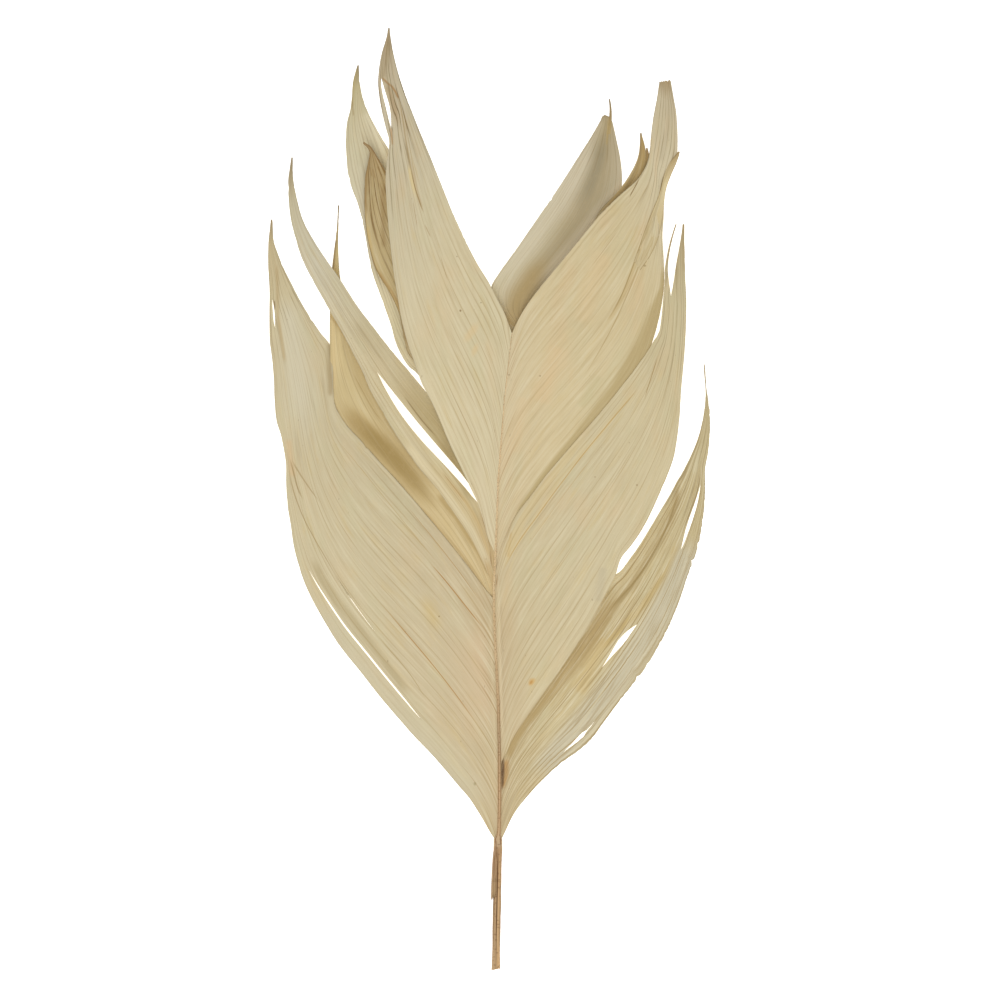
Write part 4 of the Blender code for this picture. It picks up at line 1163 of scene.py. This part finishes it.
rightBack = dict(
    root=(-2, 10), layer=(-1.1, -1.1), arch=-2.5, grid=(72, 190), pleats=16, seed=41, ragged=(0.15, 0),
    innerHeights=(21, 22, 22, 19.5, 15.5), outerHeights=(21, 22.4, 22.6, 20.5, 16),
    inner=[(502, 318), (494, 302), (491.5, 288), (500, 273), (510, 259), (520, 245), (530, 230.5),
        (541, 214.5), (552, 198.5), (563, 182), (577, 160), (590, 139.5), (599, 124), (602, 117.5),
        (605, 115)],
    outer=[(525, 322), (550, 298), (585, 258), (608, 224), (619, 200), (621.3, 184), (621, 170),
        (619, 155), (616.3, 142), (613.5, 129), (611.5, 121), (608.8, 116.5)],
    folds=[fold([(609, 116), (605, 150), (598, 180), (580, 215), (550, 255), (520, 290)], -1.5, (13, 9),
        rounded=True, ends=(0.1, 0.3))],
    strokes=[
        # Painted shade along the crease and under the front leaflet's edge.
        stroke([(608, 118), (605, 135), (603, 155), (600, 178), (592, 195), (580, 216), (560, 244),
            (540, 271), (522, 295), (511, 322), (511, 336)], [(6, 10), (14, 24), (22, 36), (26, 44),
            (26, 44), (24, 44), (22, 44), (18, 44), (12, 40)], (166, 148, 108), 0.75,
            ends=(0.02, 0.01)),
        # Painted half-shade on the far side of the crease.
        stroke([(614, 135), (616, 155), (616, 175), (606, 200), (590, 225)], (9, 7), (186, 173, 142),
            0.6),
        stroke([(609, 117), (608, 130), (606.5, 146)], 1.8, (186, 160, 102)),
        # Painted shade in the notch by the midrib.
        stroke([(556, 250), (535, 275), (518, 300), (511, 326)], [(14, 10), (20, 20), (22, 30),
            (22, 40)], (176, 150, 98), 0.75, ends=(0.4, 0.01)),
        # The dark core of the painted shade along the crease.
        stroke([(605, 128), (602, 148), (598, 166), (588, 192), (574, 216)], (15, 9), (150, 139, 110),
            0.7, ends=(0.3, 0.4)),
        # Painted light along the front leaflet's edge, lifting the real shadow it casts here.
        stroke([(628, 186), (600, 215.5), (575, 246), (550, 276), (534, 298)], (13, 8), (222, 206, 172),
            0.9, ends=(0.05, 0.3)),
    ],
    along=[(0, (204, 192, 158)), (0.4, (210, 199, 170)), (0.8, (212, 200, 172)),
        (0.96, (194, 180, 148)), (1, (160, 140, 100))],
    ribs=44, mean=60, peach=0, moss=0.2, streak=0.1, groove=0.3, ridge=0.15,
)
rightThread = dict(
    on="rightBack", lift=(0, 0.1), arch=0.1, grid=(6, 60), pleats=2, seed=42, wave=0, bands=0,
    ragged=(0, 0),
    inner=[(606.5, 134), (608.6, 124), (609.9, 113), (609.9, 106), (609.2, 99)],
    outer=[(610.5, 134), (611.2, 124), (611.3, 113), (610.7, 106), (609.6, 99)],
    along=[(0, (184, 160, 106)), (0.5, (160, 134, 84)), (1, (130, 104, 62))],
    ribs=3, mean=3, peach=0, moss=0, edge=0.3,
)
rightLow = dict(
    root=(420, 506), layer=(-1.1, 0.2), arch=1.2, grid=(112, 260), pleats=22, seed=43, pleatDepth=0.05,
    ragged=(0.1, 0.5), innerHeights=(5, 4.8, 4, 2.4, 1.4), outerHeights=(3.2, 2.6, 1.6, 0.2, 0.9),
    inner=[(505, 741), (517, 721), (532, 698), (551, 671), (570, 643), (587, 615), (600, 592),
        (610, 579), (621, 571.5), (629, 561), (639.5, 546.3), (652, 526), (661.7, 509.7), (670, 496),
        (678, 481), (686, 467), (693, 452.5), (699, 437), (703, 421), (705.5, 405), (706, 390),
        (705, 376), (704.2, 364)],
    outer=[(504.5, 833), (510, 821), (516, 810.5), (525, 799), (537, 785.5), (551, 772), (566, 759.5),
        (579, 750.5), (591.5, 739), (601, 726), (612, 711), (624, 695.5), (636, 680.5), (646, 667),
        (655, 652.5), (664, 636.5), (673, 617.5), (681, 596.5), (687, 578), (693.5, 561), (699, 543),
        (702, 526), (704.6, 506), (705.4, 488), (705.3, 469), (708.3, 452), (710.2, 433), (710.3, 414),
        (708.4, 399), (706.6, 387), (705.9, 376), (704.7, 364)],
    slits=[
        slit([(701, 482), (697.5, 500), (694, 510), (690.7, 520), (687.5, 530), (684.6, 540),
            (681, 551)], [0, 3, 4, 4.5, 4, 2.7, 0]),
        slit([(637.5, 624), (632, 630), (626, 636.5), (620, 643), (614, 651.5), (608, 660), (602, 668)],
            [0, 3.3, 6, 6.6, 4.2, 2, 0]),
        slit([(595, 721), (590, 726), (586.5, 730.5), (583.5, 735.5), (577, 740), (570, 746),
            (563, 753)], [0, 0.7, 0.9, 4.2, 3.6, 1.6, 0]),
    ],
    folds=[fold([(680, 500), (665, 535), (645, 565), (625, 593), (605, 612)], -0.35, 2.6)],
    strokes=[
        stroke([(605, 635), (592, 662), (578, 695)], (16, 12), (207, 182, 126), 0.7),
        stroke([(680, 540), (667, 573), (655, 590), (643, 606), (622, 628), (600, 652)], (5, 4),
            (196, 170, 110), core=0.3),
        stroke([(692, 532), (684, 555), (674, 580), (662, 603), (645, 632), (620, 668), (596, 700),
            (570, 732), (530, 780)], (14, 34), (200, 191, 164), 0.85, core=0.2),
        stroke([(694, 470), (688, 490), (682, 515)], (5, 6), (198, 180, 136), 0.5),
        # Painted shade along the crease.
        stroke([(680, 482), (676, 505), (669, 523), (660, 541), (650, 558), (630, 589), (620, 600),
            (600, 616)], (6, 5), (172, 148, 98)),
        # Painted shadow of the second leaflet's outer edge, which lies over this one.
        stroke([(620, 580), (609, 606), (592, 633), (572, 661), (550.5, 691), (530, 717), (514, 740),
            (504.5, 762)], [(8, 10), (8, 14), (7, 17), (7, 16), (6, 10), (5, 8), (4, 7), (3, 8)],
            (178, 153, 102), 0.95, core=0.3, ends=(0.2, 0.05)),
        stroke([(505, 757), (504.5, 772), (502.5, 791)], [(3, 6), (3, 6), (2, 3)], (186, 140, 80), 0.9,
            core=0.4, ends=(0.2, 0.2)),
        stroke([(503.2, 757), (502.4, 774), (502, 793)], [(1.4, 1.6), (2.4, 2.4), (1.2, 1.2)],
            (80, 40, 6), 1, core=0.6, ends=(0.15, 0.3)),
    ],
    veins=[
        vein([(680, 482), (678, 495), (672, 515), (665, 532), (650, 558), (640, 574), (630, 589),
            (620, 600), (607, 611)], 0.9, 0.6, (150, 126, 74), soft=0.2),
        vein([(701, 470), (698, 490), (691, 510), (684, 530)], 0.6, 0.6, (140, 112, 66)),
        vein([(612, 668), (592, 700), (566, 738)], 1, 0.5, (170, 150, 110)),
        vein([(620, 672), (600, 706), (576, 738)], 1, 0.5, (172, 152, 114)),
        vein([(604, 672), (582, 708), (556, 744)], 0.9, 0.4, (176, 154, 112)),
        vein([(616, 669), (596, 702), (571, 738)], 1, 0.5, (212, 198, 160)),
    ],
    along=[(0, (200, 182, 142)), (0.25, (203, 186, 142)), (0.5, (202, 184, 140)),
        (0.75, (198, 182, 138)), (0.92, (192, 176, 132)), (1, (150, 122, 74))],
    ribs=30, mean=52, peach=0.05, moss=0.3, streak=0.4, groove=0.8, ridge=0.85, lines=1, edge=0.4,
    edgeWidth=0.9, rim=(172, 162, 134),
)

# A leaflet comes after those that it rests or lies on.
leaflets = dict(
    leftUnder=leftUnder, leftLow=leftLow, leftSecond=leftSecond, leftBack=leftBack,
    leftCurled=leftCurled, leftFront=leftFront, rightBack=rightBack, rightThread=rightThread,
    rightMargin=rightMargin, rightTip=rightTip, rightFront=rightFront, rightFold=rightFold,
    rightLow=rightLow, rightSecond=rightSecond,
)
for leafName, leaf in leaflets.items():
    growLeaflet(leafName, leaf)


def closeTube():  # joins the two long sides of a rolled-up grid and fills its ends
    toMode("EDIT")
    bpy.ops.mesh.select_all(action="SELECT")
    bpy.ops.mesh.remove_doubles(threshold=1e-6)
    bpy.ops.mesh.select_all(action="DESELECT")
    bpy.ops.mesh.select_mode(type="EDGE")
    bpy.ops.mesh.select_non_manifold()
    bpy.ops.mesh.edge_face_add()
    faceOutwards()
    bpy.ops.object.shade_smooth_by_angle(angle=smoothAngle)


def makeMidrib():
    tube = newSheet("midribRod", midrib["around"], midrib["along"])
    around, along = flatPoints(tube.data).T
    first, last = midrib["stations"][0][0], midrib["stations"][-1][0]
    sheetY = first + (last - first) * along
    x, width, height, level, groove = midribAt(sheetY)
    angle = math.tau * (around - 0.25)
    side, rise = (np.sign(part) * np.abs(part) ** midrib["squarish"]
                  for part in (np.cos(angle), np.sin(angle)))
    dip = np.exp(-(side / midrib["grooveWidth"]) ** 2) * (rise > 0)
    strands = np.cos(around * math.tau * midrib["strands"] + 2 * np.sin(along * 40))
    fibre = midrib["uneven"] * strands
    bulge = midrib["uneven"] * lineRipple(along * 0.4, 5, 20 * mm)
    middle = onSheet(np.column_stack([x, sheetY]))
    sideways = side * width / 2 * (1 + fibre + bulge) * mm
    upwards = (level + rise * height / 2 * (1 + fibre * 0.5) - groove * dip) * mm
    rough = (side * 0.5 + 0.2 * np.cos(around * 60)) * mm
    cutEnd = np.where(along < 1e-6, rough, 0)  # the cut is slanted and uneven
    layDown(tube, np.column_stack([
        middle[:, 0] + sideways, middle[:, 1] + cutEnd, np.maximum(upwards, 0)]))
    closeTube()
    return tube


def stalkFinish(name):
    finish = Finish(name)
    around, along = finish.unwrapped()
    length = midrib["length"]
    finish.colour = finish.node("ShaderNodeValToRGB", dict(stops=midrib["tones"]), {"Fac": along})
    strand = finish.noise(around * 18, along * (length * 0.02), 2, 3.0, 0.6)
    fine = finish.noise(around * 60, along * (length * 0.05), 5, 2.0, 0.6)
    lower = 1 - finish.step(along, 0.15, 0.2)

    # The stalk's light right half, its darker shoulders, and strands and fine fibres all over.
    rightHalf = 1 - finish.step(around, 0.46, 0.49)
    finish.lay(lower * rightHalf * 0.8, (214, 174, 122))
    sides = finish.maths("ABSOLUTE", around - 0.5)
    brow = finish.step(sides, 0.055, 0.12) * finish.step(along, 0.02, 0.05)
    finish.lay(brow * lower * 0.6, (126, 96, 60))
    finish.lay(finish.step(strand, 0.45, 0.7) * (lower * 0.3 + 0.15), (160, 118, 66))
    finish.lay(finish.step(fine, 0.5, 0.25) * (lower * 0.35 + 0.05), (126, 88, 48))

    # The dark line in its groove, the two lines along the midrib, and the worn middle between them.
    seam = 1 - finish.step(finish.maths("ABSOLUTE", around - 0.503), 0.006, 0.02)
    finish.lay(seam * (finish.step(along, 0.01, 0.08) * 0.7 + 0.2) * lower, (92, 56, 22))
    line = finish.step(sides, 0.05, 0.075) * (1 - finish.step(sides, 0.1, 0.14))
    lined = finish.step(along, 0.19, 0.2) * (1 - finish.step(along, 0.36, 0.48))
    finish.lay(line * lined * 0.95, (136, 94, 46))
    worn = finish.noise(around * 4, along * (length * 0.09), 8, 3.0, 0.6)
    middle = (1 - finish.step(sides, 0.02, 0.09)) * finish.step(along, 0.36, 0.44)
    finish.lay(middle * finish.step(worn, 0.38, 0.55) * 0.35, (184, 144, 96))

    # Small dark specks.
    spot = finish.cells(around * 12, along * length, 1, 0.4)
    finish.lay((1 - finish.step(spot, 0.12, 0.25)) * 0.55, (122, 86, 50))
    return finish.complete(0.5 + strand * 0.25, strand * 0.5 + fine * 0.2, 0.7)


rod = makeMidrib()
rod.data.materials.append(stalkFinish("stalkFibre"))
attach(rod, "root")
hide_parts("stalk")
print("Midrib and stalk:", len(rod.data.polygons), "faces")

# The torn strip of bark on the left of the stalk, drawn on the sheet, with heights in mm.
bark = dict(
    left=[(495.6, 842), (493.6, 850), (492.5, 860), (491.4, 880), (490.8, 902)],
    right=[(496.2, 842), (496.3, 850), (496.4, 860), (496.2, 880), (496.0, 902)],
    top=5.3, side=2.6, thick=0.5, across=12, along=80,
)


def makeBark():
    strip = newSheet("barkStrip", bark["across"], bark["along"])
    share, along = flatPoints(strip.data).T
    torn = 1 - (0.06 + 0.05 * np.abs(lineRipple(share, 9, 0.35))) * share
    torn -= 0.05 * (np.round(share * bark["across"]) % 3 == 1)
    run = along * np.where(along > 0.8, torn, 1)
    near, far = (smoothCurve(onSheet(bark[edge]), run) for edge in ("left", "right"))
    flat = near * (1 - share)[:, None] + far * share[:, None]
    bow = np.sin(np.clip(share, 0, 1) * math.pi / 2)
    height = bark["side"] + (bark["top"] - bark["side"]) * bow + 0.25 * np.cos(share * 25)
    layDown(strip, np.column_stack([flat, height * mm]))
    thicken(strip, bark["thick"] * mm)
    bpy.ops.object.shade_smooth_by_angle(angle=smoothAngle)
    return strip


def barkFinish(name):
    finish = Finish(name)
    across, along = finish.unwrapped()
    strand = finish.noise(across * 7, along * 2.0, 4, 3.0, 0.6)
    finish.colour = tint(184, 152, 112)
    finish.lay(finish.step(strand, 0.35, 0.65), (136, 98, 60))
    finish.lay(finish.step(along, 0.6, 0.9) * 0.5, (172, 146, 104))
    return finish.complete(0.55 + strand * 0.3, strand * 0.4, 0.8)


strip = makeBark()
strip.data.materials.append(barkFinish("barkFibre"))
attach(strip, "root")
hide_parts("stalk")
print("Bark strip:", len(strip.data.polygons), "faces")

# A plain white floor, soft light from above, and the camera straight above the leaf.
deselectAll()
bpy.ops.mesh.primitive_plane_add(size=8, location=(0, 0, 0))
floor = bpy.context.active_object
floor.name = "floor"
paper = Finish("whiteFloor")
paper.put(paper.shader, {
    "Base Color": (0.9, 0.9, 0.9, 1), "Roughness": 0.9, "Specular IOR Level": 0.0,
    "Emission Color": (1, 1, 1, 1), "Emission Strength": 0.8,  # a lit table, so gaps stay white
})
floor.data.materials.append(paper.material)

studio = dict(
    sky=0.76,
    keyPlace=(-0.15, -1.45, 1.45), keySize=1.4, keyPower=16.0,
    cameraHeight=7.0, sensor=36, farthest=50,
    frameWidth=sheetSize * pixel, frameHeight=0.014,  # the picture is as wide as the sheet at this height
)
world = bpy.data.worlds.new("softSky")
bpy.context.scene.world = world
world.use_nodes = True
world.node_tree.nodes["Background"].inputs["Color"].default_value = (1, 1, 1, 1)
world.node_tree.nodes["Background"].inputs["Strength"].default_value = studio["sky"]


def addLamp(name, place, size, power):
    deselectAll()
    bpy.ops.object.light_add(type="AREA", location=place)
    lamp = bpy.context.active_object
    lamp.name = name
    lamp.data.size = size
    lamp.data.energy = power
    aim = -np.array(place)
    tilt = math.acos(-aim[2] / np.linalg.norm(aim))
    lamp.rotation_euler = (tilt, 0, math.atan2(-aim[0], aim[1]))
    lamp.visible_camera = False


addLamp("keyLamp", studio["keyPlace"], studio["keySize"], studio["keyPower"])

deselectAll()
middle = onSheet((sheetSize / 2, sheetSize / 2))[0]
bpy.ops.object.camera_add(location=(*middle, studio["cameraHeight"]), rotation=(0, 0, 0))
camera = bpy.context.active_object
camera.name = "leafCamera"
camera.data.sensor_width = studio["sensor"]
distance = studio["cameraHeight"] - studio["frameHeight"]
camera.data.lens = studio["sensor"] * distance / studio["frameWidth"]
camera.data.clip_end = studio["farthest"]
bpy.context.scene.camera = camera
bpy.context.scene.view_settings.view_transform = "Standard"
print("Floor, light and camera ready")
